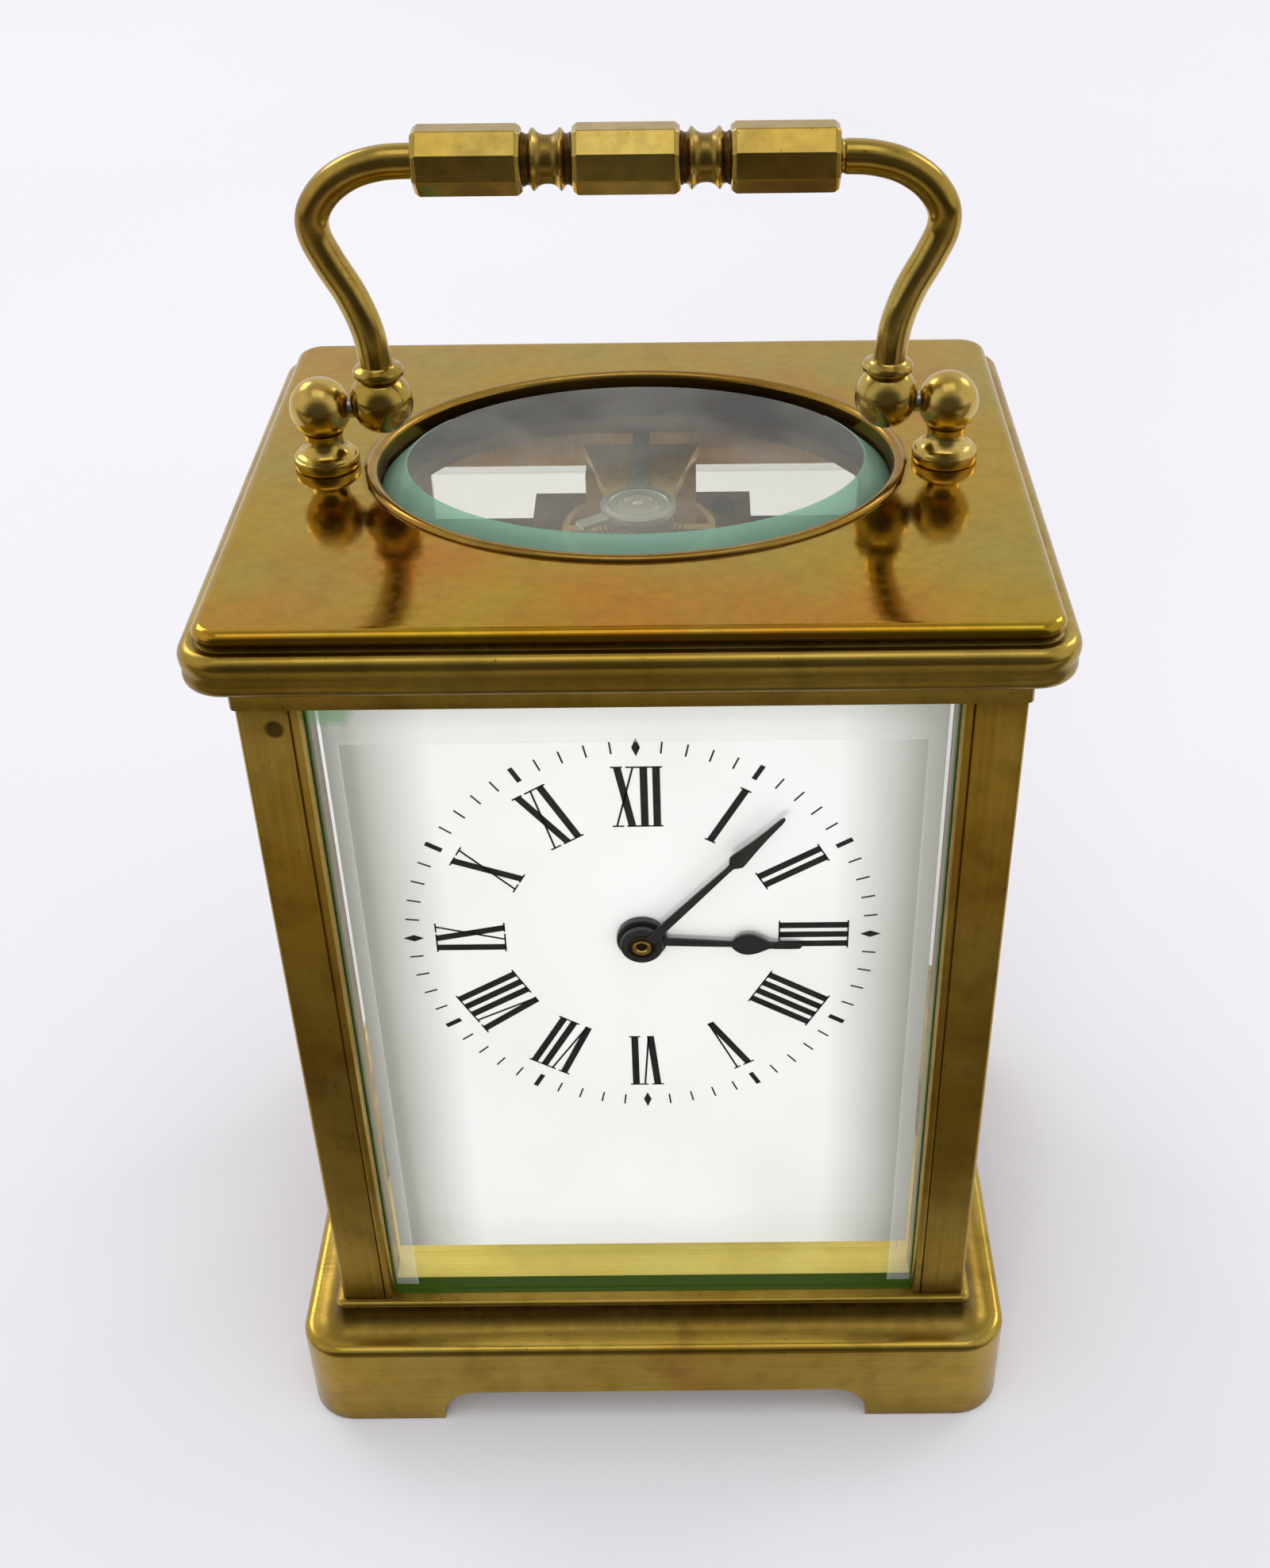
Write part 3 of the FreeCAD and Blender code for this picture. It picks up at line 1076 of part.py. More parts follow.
def make_platform():
    """Horizontal escapement platform with its cock, bridge, potence and screws."""
    body = new_body("platform_plate")
    outline = rectangle("-platform_half", "platform_half", "platform_front", "platform_back")
    circles = [
        ("0", "balance_y", "0.35"), ("contrate_x", "escape_y", "1.6"), ("lever_x", "lever_y", "0.35"),
    ]
    sketch = new_sketch(
        body, "PlatformSheet", "XY_Plane", "movement_top", outlines=[outline], circles=circles,
    )
    pad(body, sketch, "platform_thick")
    lines = ("back_plate_y + plate_thick / 2", "front_plate_y - plate_thick / 2")
    screws = [(f"{side} * 9", y, "0.65") for side in (-1, 1) for y in lines]
    sketch = new_sketch(body, "PlatformHoles", "XY_Plane", "movement_top", circles=screws)
    pocket(body, sketch, "platform_thick", reverse=True)
    node(body, "platform_plate")
    top = "(movement_top + platform_thick)"
    heads = [(f"{side} * 9", y, f"{top} + 0.8") for side in (-1, 1) for y in lines]
    screws = make_screws("PlatformScrew", "1.2", "2.6", "4", heads)
    for screw, (x, y, z) in zip(screws, heads):
        place(screw, x, y, z, axis=(1, 0, 0), angle=180)
    group("platform_screws", screws)

    body = new_body("CockArm")
    arm = [
        ("-3", "balance_y - 1.5"), ("3", "balance_y - 1.5"), ("3.6", "balance_y + 4"), ("6.4", "cock_back"),
        ("-6.4", "cock_back"), ("-3.6", "balance_y + 4"),
    ]
    sketch = new_sketch(
        body, "CockPlan", "XY_Plane", "cock_bottom", outlines=[arm], circles=[("0", "balance_y", "0.35")],
    )
    pad(body, sketch, "cock_thick")
    foot = box("CockFoot", "12", "5.5", f"cock_bottom - {top}")
    place(foot, "-6", "cock_back - 5.5", top)
    node(fuse("balance_cock", body, foot), "balance_cock")
    bridge = box("BridgeBar", "13", "6.1", "0.8")
    place(bridge, "-1.5", "escape_y - 2", "escape_z + 1.6")
    bridge_foot = box("BridgeFoot", "2.4", "3", f"escape_z + 1.6 - {top}")
    place(bridge_foot, "-1.5", "escape_y - 2", top)
    holes = [cylinder("EscapeBridgeHole", "0.35", "3"), cylinder("LeverBridgeHole", "0.35", "3")]
    place(holes[0], "contrate_x", "escape_y", "escape_z + 1")
    place(holes[1], "lever_x", "lever_y", "escape_z + 1")
    node(cut("escape_bridge", fuse("BridgeBlank", bridge, bridge_foot), *holes), "escape_bridge")
    shelf = box("PotenceShelf", "3", "4.9", "1")
    place(shelf, "contrate_x - 1.5", "escape_y - 4.4", "movement_top - 7")
    post = box("PotencePost", "3", "1.5", "7")
    place(post, "contrate_x - 1.5", "escape_y - 4.4", "movement_top - 7")
    hole = cylinder("PotenceHole", "0.35", "3")
    place(hole, "contrate_x", "escape_y", "movement_top - 8")
    node(cut("escape_potence", fuse("PotenceBlank", shelf, post), hole), "escape_potence")


def make_escapement():
    """Escape wheel on its upright pinion, lever, balance with staff and hairspring, regulator index."""
    leaves = gear(ESCAPE_LEAVES, 0.22, 4.6, 90, leaf=True, low=-8.0)
    arbor_solid = joined(rod(0.45, -8.4, 1.2), rod(0.3, -9.3, 2.0), leaves)
    node(shaped("escape_pinion", arbor_solid, "contrate_x", "escape_y", "escape_z"), "escape_pinion")
    wheel = escape_wheel(15, value("escape_size / 2"), 0.4)
    node(shaped("escape_wheel", wheel, "contrate_x", "escape_y", "escape_z"), "escape_wheel")
    node(shaped("pallet_lever", lever_shape(), "lever_x", "lever_y", "escape_z - 0.1"), "pallet_lever")
    outer, rim = value("balance_size / 2"), value("balance_rim")
    ring = rod(outer, 0, 0.9).cut(rod(outer - rim, -1, 2))
    bar = Part.makeBox(2 * outer - rim, 1.2, 0.6, FreeCAD.Vector(-outer + rim / 2, -0.6, 0.15))
    hub = rod(1.3, 0, 0.8)
    wheel = joined(ring, bar, hub).cut(rod(0.5, -1, 2))
    node(shaped("balance_wheel", wheel, "0", "balance_y", "balance_z"), "balance_wheel")
    foot = value("movement_top + platform_thick - balance_z")
    staff = joined(
        rod(0.5, foot + 0.3, 1.35), rod(0.3, foot - 1.2, value("cock_bottom - balance_z") + 0.9),
        rod(1.0, foot + 1.2, foot + 1.6),
    )
    node(shaped("balance_staff", staff, "0", "balance_y", "balance_z"), "balance_staff")
    spring = coil_ribbon(0.9, 4.6, 7, 0.12, 0.95, 1.15)
    collet = rod(0.85, 0.85, 1.3).cut(rod(0.5, 0, 3))
    node(shaped("hairspring", spring.fuse(collet), "0", "balance_y", "balance_z"), "hairspring")
    disc = value("index_size / 2")
    short_arm = Part.makeBox(1.6, 7.2, 0.4, FreeCAD.Vector(-0.8, 0, 0.05))
    short_arm.rotate(FreeCAD.Vector(), FreeCAD.Vector(0, 0, 1), 125)
    long_arm = Part.makeBox(1.9, 17.5, 0.4, FreeCAD.Vector(-0.95, 2, 0.05))
    index = joined(rod(disc, 0, 0.6), long_arm, short_arm)
    shape = shaped("regulator_index", index, "0", "balance_y", "cock_bottom + cock_thick + 0.05")
    node(shape, "regulator_index")


def escape_wheel(teeth, radius, thick):
    """Club-toothed escape wheel, crossed out to four arms."""
    corners = []
    for tooth in range(teeth):
        start = 2 * math.pi * tooth / teeth
        for share, reach in ((0.0, 1.0), (0.14, 1.02), (0.24, 0.86), (0.62, 0.72), (0.9, 0.74)):
            angle = start + share * 2 * math.pi / teeth
            out = radius * reach
            corners.append(FreeCAD.Vector(out * math.cos(angle), out * math.sin(angle), 0))
    solid = Part.Face(Part.makePolygon(corners + corners[:1])).extrude(FreeCAD.Vector(0, 0, thick))
    solid = solid.cut(rod(0.45, -1, 2))
    return solid


def lever_shape():
    """Pallet lever: two pallet arms about the staff and a forked tail towards the balance."""
    away = math.degrees(math.atan2(value("balance_y - lever_y"), value("-lever_x")))
    long = math.hypot(value("lever_x"), value("balance_y - lever_y")) - 1.75
    tail = Part.makeBox(long, 0.5, 0.4, FreeCAD.Vector(0, -0.25, 0))
    fork = Part.makeBox(0.6, 1.1, 0.4, FreeCAD.Vector(long - 0.6, -0.55, 0))
    notch = Part.makeBox(0.4, 0.5, 1, FreeCAD.Vector(long - 0.35, -0.25, -0.3))
    arms = Part.makeBox(0.7, 2.6, 0.4, FreeCAD.Vector(-0.35, -1.3, 0))
    solid = joined(tail, fork, arms).cut(notch)
    solid.rotate(FreeCAD.Vector(), FreeCAD.Vector(0, 0, 1), away)
    return joined(solid, rod(0.3, -2.0, 1.9), rod(0.5, -0.5, 1.2))


def make_click_work():
    """Click and its spring on the back plate."""
    reach = math.hypot(value("click_x"), value("click_z - barrel_z"))
    tip = reach - value("ratchet_size / 2") - 0.12
    facing = math.degrees(math.atan2(value("barrel_z - click_z"), value("-click_x")))
    pawl = Part.makeBox(tip, 1.4, 0.9, FreeCAD.Vector(0, -0.7, 0)).fuse(rod(1.4, 0, 0.9))
    pawl = pawl.cut(rod(0.75, -1, 3))
    pawl.rotate(FreeCAD.Vector(), FreeCAD.Vector(0, 0, 1), facing)
    node(shaped("click", pawl, "click_x", "back_plate_y + plate_thick + 1.4", "click_z", **TO_FRONT), "click")
    stud = joined(rod(0.7, 0, 1.5), rod(1.3, 1.5, 2.1))
    screw = shaped("click_screw", stud, "click_x", "back_plate_y + plate_thick", "click_z", **TO_BACK)
    node(screw, "click_screw")


make_base()
make_pillars()
make_top_frame()
make_top_light()
make_panes()
make_small_case_parts()
make_handle()
make_door()
make_plates()
make_dial()
make_train()
make_motion_work()
make_hands()
make_platform()
make_escapement()
make_click_work()
doc.recompute()

for thing in doc.Objects:
    if {"Invalid", "Error"} & set(thing.State):
        raise RuntimeError(f"{thing.Label} is {thing.State}")
os.makedirs("parts", exist_ok=True)
for name, thing in NODES.items():
    if thing.Shape.isNull() or not thing.Shape.isValid() or thing.Shape.Volume <= 0:
        raise RuntimeError(f"{name} has no valid shape")
for name, thing in NODES.items():
    thing.Shape.exportStep(f"parts/{name}.step")
print(len(NODES), "pieces")
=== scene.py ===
import math

import bmesh
import bpy
from mathutils import Matrix, Vector


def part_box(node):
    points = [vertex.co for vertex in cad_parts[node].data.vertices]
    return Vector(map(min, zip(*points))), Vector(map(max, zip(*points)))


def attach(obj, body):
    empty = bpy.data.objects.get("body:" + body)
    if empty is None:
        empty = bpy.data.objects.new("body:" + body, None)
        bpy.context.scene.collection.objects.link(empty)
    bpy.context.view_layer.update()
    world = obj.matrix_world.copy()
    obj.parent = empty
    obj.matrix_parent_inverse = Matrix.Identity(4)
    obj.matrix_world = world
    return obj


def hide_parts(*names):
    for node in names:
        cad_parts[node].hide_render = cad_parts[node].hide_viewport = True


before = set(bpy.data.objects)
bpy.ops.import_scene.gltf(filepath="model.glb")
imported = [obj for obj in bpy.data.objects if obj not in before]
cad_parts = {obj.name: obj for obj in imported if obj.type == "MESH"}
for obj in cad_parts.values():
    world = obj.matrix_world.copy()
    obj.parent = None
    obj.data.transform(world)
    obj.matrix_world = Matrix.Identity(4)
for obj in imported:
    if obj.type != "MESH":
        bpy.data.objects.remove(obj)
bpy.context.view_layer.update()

MM = 0.001
CASE, HANDLE, DOOR = "case", "handle", "rear_door"


# ---- sizes read from the frame, in mm

def extent(node):
    """Lowest and highest corner of a CAD node, in millimetres."""
    low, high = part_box(node)
    return low / MM, high / MM


def middle(node):
    low, high = extent(node)
    return (low + high) / 2


base_high = extent("base_moulding")[1]
top_high = extent("top_frame")[1]
pillar_low, pillar_high = extent("pillar_front_right")
BODY_X, BODY_Y = pillar_high.x, -pillar_low.y            # half sizes over the pillars
PILLAR = pillar_high.x - pillar_low.x
PILLAR_FOOT, PILLAR_TOP = pillar_low.z, pillar_high.z
BASE_OVER = base_high.x - BODY_X
CORNICE_OVER = top_high.x - BODY_X
TOP = top_high.z
OVAL = middle("oval_bezel")
bezel_low, bezel_high = extent("oval_bezel")
OVAL_X, OVAL_Y = (bezel_high.x - bezel_low.x) / 2, (bezel_high.y - bezel_low.y) / 2
glass_low, glass_high = extent("top_glass")
PIVOT = middle("handle_pivot_pins")
POST = middle("handle_post_right")
BAR = middle("handle_grip")
BAR_END = extent("handle_grip")[1].x
BAR_LOW, BAR_HIGH = (corner.z for corner in extent("handle_grip"))
DIAL_FACE = extent("dial")[0].y
DIAL_CENTRE = middle("hour_wheel")


# ---- mesh building

def link(mesh, name, material, body, *replaced, sharp=32.0):
    """Makes a piece from a mesh, shades it and lets it ride on a body in place of CAD nodes."""
    piece = bpy.data.objects.new(name, mesh)
    bpy.context.scene.collection.objects.link(piece)
    for item in material if isinstance(material, (list, tuple)) else [material]:
        mesh.materials.append(item)
    mesh.shade_smooth()
    mesh.set_sharp_from_angle(angle=math.radians(sharp))
    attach(piece, body)
    if replaced:
        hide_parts(*replaced)
    return piece


def mesh_from(points, faces):
    """Mesh from points in millimetres, with all faces turned outwards."""
    mesh = bpy.data.meshes.new("shape")
    mesh.from_pydata([tuple(c * MM for c in p) for p in points], [], faces)
    work = bmesh.new()
    work.from_mesh(mesh)
    bmesh.ops.recalc_face_normals(work, faces=work.faces)
    work.to_mesh(mesh)
    work.free()
    return mesh


def skin(loops, ring=False, caps=True):
    """Faces between equal closed loops of points; ring joins the last loop to the first."""
    count = len(loops[0])
    points = [p for loop in loops for p in loop]
    faces = []
    for k in range(len(loops) if ring else len(loops) - 1):
        a, b = k * count, (k + 1) % len(loops) * count
        for n in range(count):
            m = (n + 1) % count
            faces.append((a + n, a + m, b + m, b + n))
    if caps and not ring:
        faces.append(tuple(range(count)))
        faces.append(tuple((len(loops) - 1) * count + n for n in range(count)))
    return mesh_from(points, faces)


def arc(centre_x, centre_y, radius, start, end, steps):
    """Points on an arc between two angles in degrees, both ends included."""
    points = []
    for k in range(steps + 1):
        a = math.radians(start + (end - start) * k / steps)
        points.append((centre_x + radius * math.cos(a), centre_y + radius * math.sin(a)))
    return points


def round_rectangle(half_x, half_y, radius, corner_steps=10, side_steps=8):
    """Anticlockwise loop of a rectangle with round corners, the same count for every size."""
    radius = min(max(radius, 0.02), half_x, half_y)
    loop = []
    for across, up, start in ((1, -1, -90), (1, 1, 0), (-1, 1, 90), (-1, -1, 180)):
        x, y = across * (half_x - radius), up * (half_y - radius)
        corner = arc(x, y, radius, start, start + 90, corner_steps)
        if loop:
            loop += between(loop[-1], corner[0], side_steps)
        loop += corner
    return loop + between(loop[-1], loop[0], side_steps)


def between(first, last, steps):
    """Points strictly between two points."""
    return [
        tuple(a + (b - a) * k / steps for a, b in zip(first, last)) for k in range(1, steps)
    ]


def frame_loop(over, z, radius):
    """Round rectangle standing out from the pillars' faces by a distance, at a height."""
    return [(x, y, z) for x, y in round_rectangle(BODY_X + over, BODY_Y + over, radius)]


def oval_loop(inset, z):
    """Oval parallel to the bezel's outside, point for point with frame_loop."""
    loop = []
    for x, y in round_rectangle(BODY_X, BODY_Y, 3.0):
        a = math.atan2((y - OVAL.y) / OVAL_Y, x / OVAL_X)
        loop.append(((OVAL_X - inset) * math.cos(a), OVAL.y + (OVAL_Y - inset) * math.sin(a), z))
    return loop


def lathe(profile, steps=64):
    """Shape turned about Z from (radius, height) points; it starts and ends on the axis or at one point."""
    points, faces, rings = [], [], []
    for radius, z in profile:
        if radius < 1e-6:
            rings.append([len(points)])
            points.append((0.0, 0.0, z))
            continue
        rings.append(list(range(len(points), len(points) + steps)))
        for k in range(steps):
            a = 2 * math.pi * k / steps
            points.append((radius * math.cos(a), radius * math.sin(a), z))
    for low, high in zip(rings, rings[1:]):
        for k in range(steps):
            n = k + 1
            quad = [low[k % len(low)], low[n % len(low)], high[n % len(high)], high[k % len(high)]]
            faces.append(tuple(dict.fromkeys(quad)))
    return mesh_from(points, faces)


def tube(line, radius, steps=40):
    """Round rod along a line of points that lies in one X-Z plane."""
    loops = []
    for k, point in enumerate(line):
        before, after = line[max(k - 1, 0)], line[min(k + 1, len(line) - 1)]
        along = (after - before).normalized()
        side = Vector((0, 1, 0))
        out = along.cross(side).normalized()
        size = radius(k / (len(line) - 1)) if callable(radius) else radius
        loops.append([
            tuple(point + (side * math.cos(a) + out * math.sin(a)) * size)
            for a in (2 * math.pi * n / steps for n in range(steps))
        ])
    return skin(loops)


def curve_points(controls, steps):
    """Smooth line through a few points (Catmull-Rom), for swan-neck shapes."""
    line = []
    controls = [Vector(c) for c in controls]
    padded = [2 * controls[0] - controls[1], *controls, 2 * controls[-1] - controls[-2]]
    for k in range(len(padded) - 3):
        a, b, c, d = padded[k:k + 4]
        for n in range(steps):
            t = n / steps
            line.append(0.5 * (
                2 * b + (c - a) * t + (2 * a - 5 * b + 4 * c - d) * t ** 2 + (3 * b - a - 3 * c + d) * t ** 3
            ))
    return line + [controls[-1]]


def plate(outline, low, high):
    """Flat plate of an outline in the X-Y plane between two heights."""
    return skin([[(x, y, low) for x, y in outline], [(x, y, high) for x, y in outline]])


def joined(*meshes):
    """One mesh from several."""
    work = bmesh.new()
    for mesh in meshes:
        work.from_mesh(mesh)
    merged = bpy.data.meshes.new("shape")
    work.to_mesh(merged)
    work.free()
    return merged


def moved(mesh, x=0.0, y=0.0, z=0.0, turn=None):
    """The mesh turned by a matrix, then moved by millimetres."""
    matrix = Matrix.Translation(Vector((x, y, z)) * MM)
    mesh.transform(matrix @ turn if turn else matrix)
    return mesh


def turn(angle, axis):
    return Matrix.Rotation(math.radians(angle), 4, axis)


TO_FRONT = turn(90, "X")      # local Z to the front, local Y up
ALONG_X = turn(90, "Y")


def soften(piece, width, segments=3, angle=30.0):
    """Rounds the arrises of a piece by a width in millimetres."""
    bevel = piece.modifiers.new("Arris", "BEVEL")
    bevel.width = width * MM
    bevel.segments = segments
    bevel.limit_method = "ANGLE"
    bevel.angle_limit = math.radians(angle)
    bevel.harden_normals = True
    return piece


def carve(mesh, cutter):
    """The mesh with the cutter's volume taken away."""
    target = bpy.data.objects.new("target", mesh)
    tool = bpy.data.objects.new("tool", cutter)
    for item in (target, tool):
        bpy.context.scene.collection.objects.link(item)
    boolean = target.modifiers.new("Cut", "BOOLEAN")
    boolean.operation, boolean.solver, boolean.object = "DIFFERENCE", "EXACT", tool
    graph = bpy.context.evaluated_depsgraph_get()
    result = bpy.data.meshes.new_from_object(target.evaluated_get(graph))
    bpy.data.objects.remove(target)
    bpy.data.objects.remove(tool)
    return result


# ---- finishes

def material(name):
    """Empty node material with its output; returns the material and a maker of linked nodes."""
    made = bpy.data.materials.new(name)
    made.use_nodes = True
    tree = made.node_tree
    tree.nodes.clear()
    output = tree.nodes.new("ShaderNodeOutputMaterial")

    def add(kind, inputs=(), **settings):
        node = tree.nodes.new("ShaderNode" + kind)
        for key, setting in settings.items():
            setattr(node, key, setting)
        for key, source in dict(inputs).items():
            socket = node.inputs[key]
            if isinstance(source, bpy.types.NodeSocket):
                tree.links.new(source, socket)
            else:
                socket.default_value = source
        return node

    return made, add, lambda shader: tree.links.new(shader, output.inputs["Surface"])


def linear(red, green, blue):
    """Scene-linear colour of an 8-bit display colour."""
    parts = [c / 255 for c in (red, green, blue)]
    return (*[c / 12.92 if c < 0.04045 else ((c + 0.055) / 1.055) ** 2.4 for c in parts], 1.0)


def ramp(add, source, low, high, to_low=0.0, to_high=1.0):
    return add("MapRange", {
        "Value": source, "From Min": low, "From Max": high, "To Min": to_low, "To Max": to_high,
    }).outputs["Result"]


def reckon(add, operation, *values, clamp=False):
    return add("Math", dict(enumerate(values)), operation=operation, use_clamp=clamp).outputs[0]


def blend(add, amount, first, second):
    mix = add("Mix", data_type="RGBA")
    for key, source in (("Factor", amount), ("A", first), ("B", second)):
        sockets = [s for s in mix.inputs if s.name == key and s.enabled]
        if isinstance(source, bpy.types.NodeSocket):
            mix.id_data.links.new(source, sockets[0])
        else:
            sockets[0].default_value = source
    return [s for s in mix.outputs if s.enabled][0]


def cloud(add, where, scale, detail=3.0, stretch=None, offset=0.0):
    """Noise value at a place, with features 1/scale metres wide, stretched along an axis if asked."""
    mapping = add("Mapping", {"Vector": where, "Location": (offset, offset * 0.7, -offset)})
    mapping.inputs["Scale"].default_value = stretch or (1, 1, 1)
    return add("TexNoise", {"Vector": mapping.outputs[0], "Scale": scale, "Detail": detail}).outputs["Fac"]


def distance_from(add, where, centre, radii):
    """Distance from a centre, with 1 on an ellipsoid; centre and half sizes in millimetres."""
    offset = add("VectorMath", {0: where, 1: tuple(c * MM for c in centre)}, operation="SUBTRACT").outputs[0]
    scale = tuple(1 / (r * MM) for r in radii)
    sized = add("VectorMath", {0: offset, 1: scale}, operation="MULTIPLY").outputs[0]
    return add("VectorMath", {0: sized}, operation="LENGTH").outputs["Value"]


def aged_brass(name, main, pale, warm, dark, rough=0.22, grain=None, warm_share=0.5, pits=0.5,
               spot=None, seed=0.0, strength=0.25, metal=1.0, painted_glow=0.0):
    """Tarnished brass: pale and warm clouds, dark soil and painted shade in recesses, pits, brushing, one
    dark spot if asked.

    A metal share of 0 and a glow are painted light for a bright floor deep inside, which gets little light of
    its own.
    """
    made, add, finish = material(name)
    where = add("TexCoord").outputs["Object"]
    tint = ramp(add, cloud(add, where, 55, 4, offset=seed), 0.40, 0.66)
    colour = blend(add, tint, linear(*main), linear(*pale))
    start = 0.62 - 0.1 * warm_share
    heat = ramp(add, cloud(add, where, 34, 5, offset=seed + 3.1), start, start + 0.16)
    colour = blend(add, heat, colour, linear(*warm))
    mottle = ramp(add, cloud(add, where, 260, 6, offset=seed + 1.7), 0.5, 0.76, 0.0, 0.5 * pits)
    colour = blend(add, mottle, colour, linear(*dark))
    speck = ramp(add, cloud(add, where, 2400, 2, offset=seed + 5.0), 0.70, 0.74, 0.0, 0.9 * pits)
    colour = blend(add, speck, colour, linear(*dark))
    # Vertex amount of soil and painted shade: recesses darken towards the dark colour.
    soil_and_shade = add("Attribute", attribute_name="soil_and_shade").outputs["Fac"]
    edge = cloud(add, where, 700, 4, offset=seed + 7.0)
    layer = reckon(add, "MULTIPLY", ramp(add, edge, 0.2, 0.8, 0.75, 1.1), soil_and_shade, clamp=True)
    colour = blend(add, layer, colour, linear(*dark))
    if spot:
        away = distance_from(add, where, *spot)
        colour = blend(add, ramp(add, away, 0.75, 1.1, 0.85, 0.0), colour, linear(58, 50, 30))
    lines = cloud(add, where, 2600 if grain else 900, 3, stretch=grain, offset=seed)
    colour = blend(add, ramp(add, lines, 0.35, 0.7, 0.0, 0.14), colour, linear(*dark))
    uneven = ramp(add, cloud(add, where, 90, 4, offset=seed + 2.0), 0.3, 0.7, rough * 0.8, rough * 1.35)
    total = reckon(add, "MULTIPLY_ADD", layer, 0.28, uneven)
    total = reckon(add, "ADD", ramp(add, lines, 0.3, 0.7, -0.03, 0.05), total)
    ripple = cloud(add, where, 160, 2, offset=seed + 9.0)
    swell = add("Bump", {"Height": ripple, "Strength": strength * 0.5, "Distance": 0.0004}).outputs[0]
    bump = add("Bump", {
        "Height": lines, "Strength": strength, "Distance": 0.00002, "Normal": swell,
    }).outputs[0]
    # A glow above 0 is painted light: emission from brass that is no lamp.
    finish(add("BsdfPrincipled", {
        "Base Color": colour, "Metallic": metal, "Roughness": total, "Normal": bump,
        "Emission Color": colour, "Emission Strength": painted_glow,
    }).outputs[0])
    return made


def clean_metal(name, main, other, rough, grain=None, scale=300, bump=0.15):
    """Finished metal with light clouding and fine tool marks."""
    made, add, finish = material(name)
    where = add("TexCoord").outputs["Object"]
    tint = ramp(add, cloud(add, where, scale, 4), 0.35, 0.7)
    lines = cloud(add, where, 3000, 3, stretch=grain)
    colour = blend(add, tint, linear(*main), linear(*other))
    uneven = ramp(add, lines, 0.3, 0.7, rough * 0.8, rough * 1.3)
    normal = add("Bump", {"Height": lines, "Strength": bump, "Distance": 0.00002}).outputs[0]
    finish(add("BsdfPrincipled", {
        "Base Color": colour, "Metallic": 1.0, "Roughness": uneven, "Normal": normal,
    }).outputs[0])
    return made


def coating(name, main, other, rough, coat=0.0, scale=80, bump=0.05, painted_shade=None):
    """Non-metal surface such as enamel, ink or wall paint; painted shade, if given, darkens it towards both
    sides.
    """
    made, add, finish = material(name)
    where = add("TexCoord").outputs["Object"]
    tint = ramp(add, cloud(add, where, scale, 5), 0.35, 0.7)
    colour = blend(add, tint, linear(*main), linear(*other))
    if painted_shade:
        # Painted shade: the colour turns to the deep one with distance from the middle in X.
        start, end, deep = painted_shade
        across = reckon(add, "ABSOLUTE", add("SeparateXYZ", {0: where}).outputs["X"])
        colour = blend(add, ramp(add, across, start * MM, end * MM), colour, linear(*deep))
    fine = cloud(add, where, scale * 12, 3)
    normal = add("Bump", {"Height": fine, "Strength": bump, "Distance": 0.00002}).outputs[0]
    finish(add("BsdfPrincipled", {
        "Base Color": colour, "Roughness": ramp(add, fine, 0.3, 0.7, rough * 0.85, rough * 1.2),
        "Coat Weight": coat, "Coat Roughness": 0.05, "Normal": normal,
    }).outputs[0])
    return made


def glazing(name, tint, body, body_share, rough=0.02, mirror=1.0, smear=0.0, bevel=None, stain=None):
    """Tinted clear glass with some body colour and a mirror film; a bevel of painted reflection and a green
    stain if asked.

    A bevel is an axis, its half width, lowest and highest flat height in millimetres and its body share.
    """
    made, add, finish = material(name)
    where = add("TexCoord").outputs["Object"]
    haze = cloud(add, where, 60, 5)
    lighter = [min(255, c + 4) for c in tint]
    veil = blend(add, ramp(add, haze, 0.3, 0.7), linear(*tint), linear(*lighter))
    clear = add("BsdfTransparent", {"Color": veil}).outputs[0]
    solid = add("BsdfDiffuse", {"Color": linear(*body), "Roughness": 0.3}).outputs[0]
    facing = ramp(add, add("NewGeometry").outputs["Backfacing"], 0, 1, 1, 0)
    share = ramp(add, haze, 0.35, 0.75, body_share, min(1.0, body_share + smear))
    if bevel:
        axis, half, low, high, bevel_share = bevel
        parts = add("SeparateXYZ", {0: where})
        depth = reckon(add, "SUBTRACT", reckon(add, "ABSOLUTE", parts.outputs[axis]), half * MM)
        below = reckon(add, "SUBTRACT", low * MM, parts.outputs["Z"])
        above = reckon(add, "SUBTRACT", parts.outputs["Z"], high * MM)
        for other in (below, above):
            depth = reckon(add, "MAXIMUM", depth, other)
        # Painted reflection: the bevel band turns greyer and a pale line marks its edge, in place of a
        # bevelled shape.
        share = reckon(add, "MULTIPLY_ADD", ramp(add, depth, -0.1 * MM, 0.1 * MM), bevel_share, share)
        painted_edge_line = ramp(add, reckon(add, "ABSOLUTE", depth), 0.0, 0.2 * MM, 1.0, 0.0)
        share = reckon(add, "MULTIPLY_ADD", painted_edge_line, 0.2, share, clamp=True)
    inside = add("MixShader", {0: reckon(add, "MULTIPLY", share, facing), 1: clear, 2: solid}).outputs[0]
    if stain:
        away = reckon(add, "MULTIPLY_ADD", cloud(add, where, 420, 4), 1.6, distance_from(add, where, *stain))
        green = add("BsdfDiffuse", {"Color": linear(104, 148, 104)}).outputs[0]
        patch = reckon(add, "MULTIPLY", ramp(add, away, 1.2, 1.8, 0.7, 0.0), facing)
        inside = add("MixShader", {0: patch, 1: inside, 2: green}).outputs[0]
    gloss = ramp(add, haze, 0.3, 0.7, rough, rough * 2)
    shine = add("BsdfGlossy", {"Color": (1, 1, 1, 1), "Roughness": gloss}).outputs[0]
    film = reckon(add, "MULTIPLY", add("Fresnel", {"IOR": 1.5}).outputs[0], mirror, clamp=True)
    film = reckon(add, "MULTIPLY", film, facing)
    finish(add("MixShader", {0: film, 1: inside, 2: shine}).outputs[0])
    return made


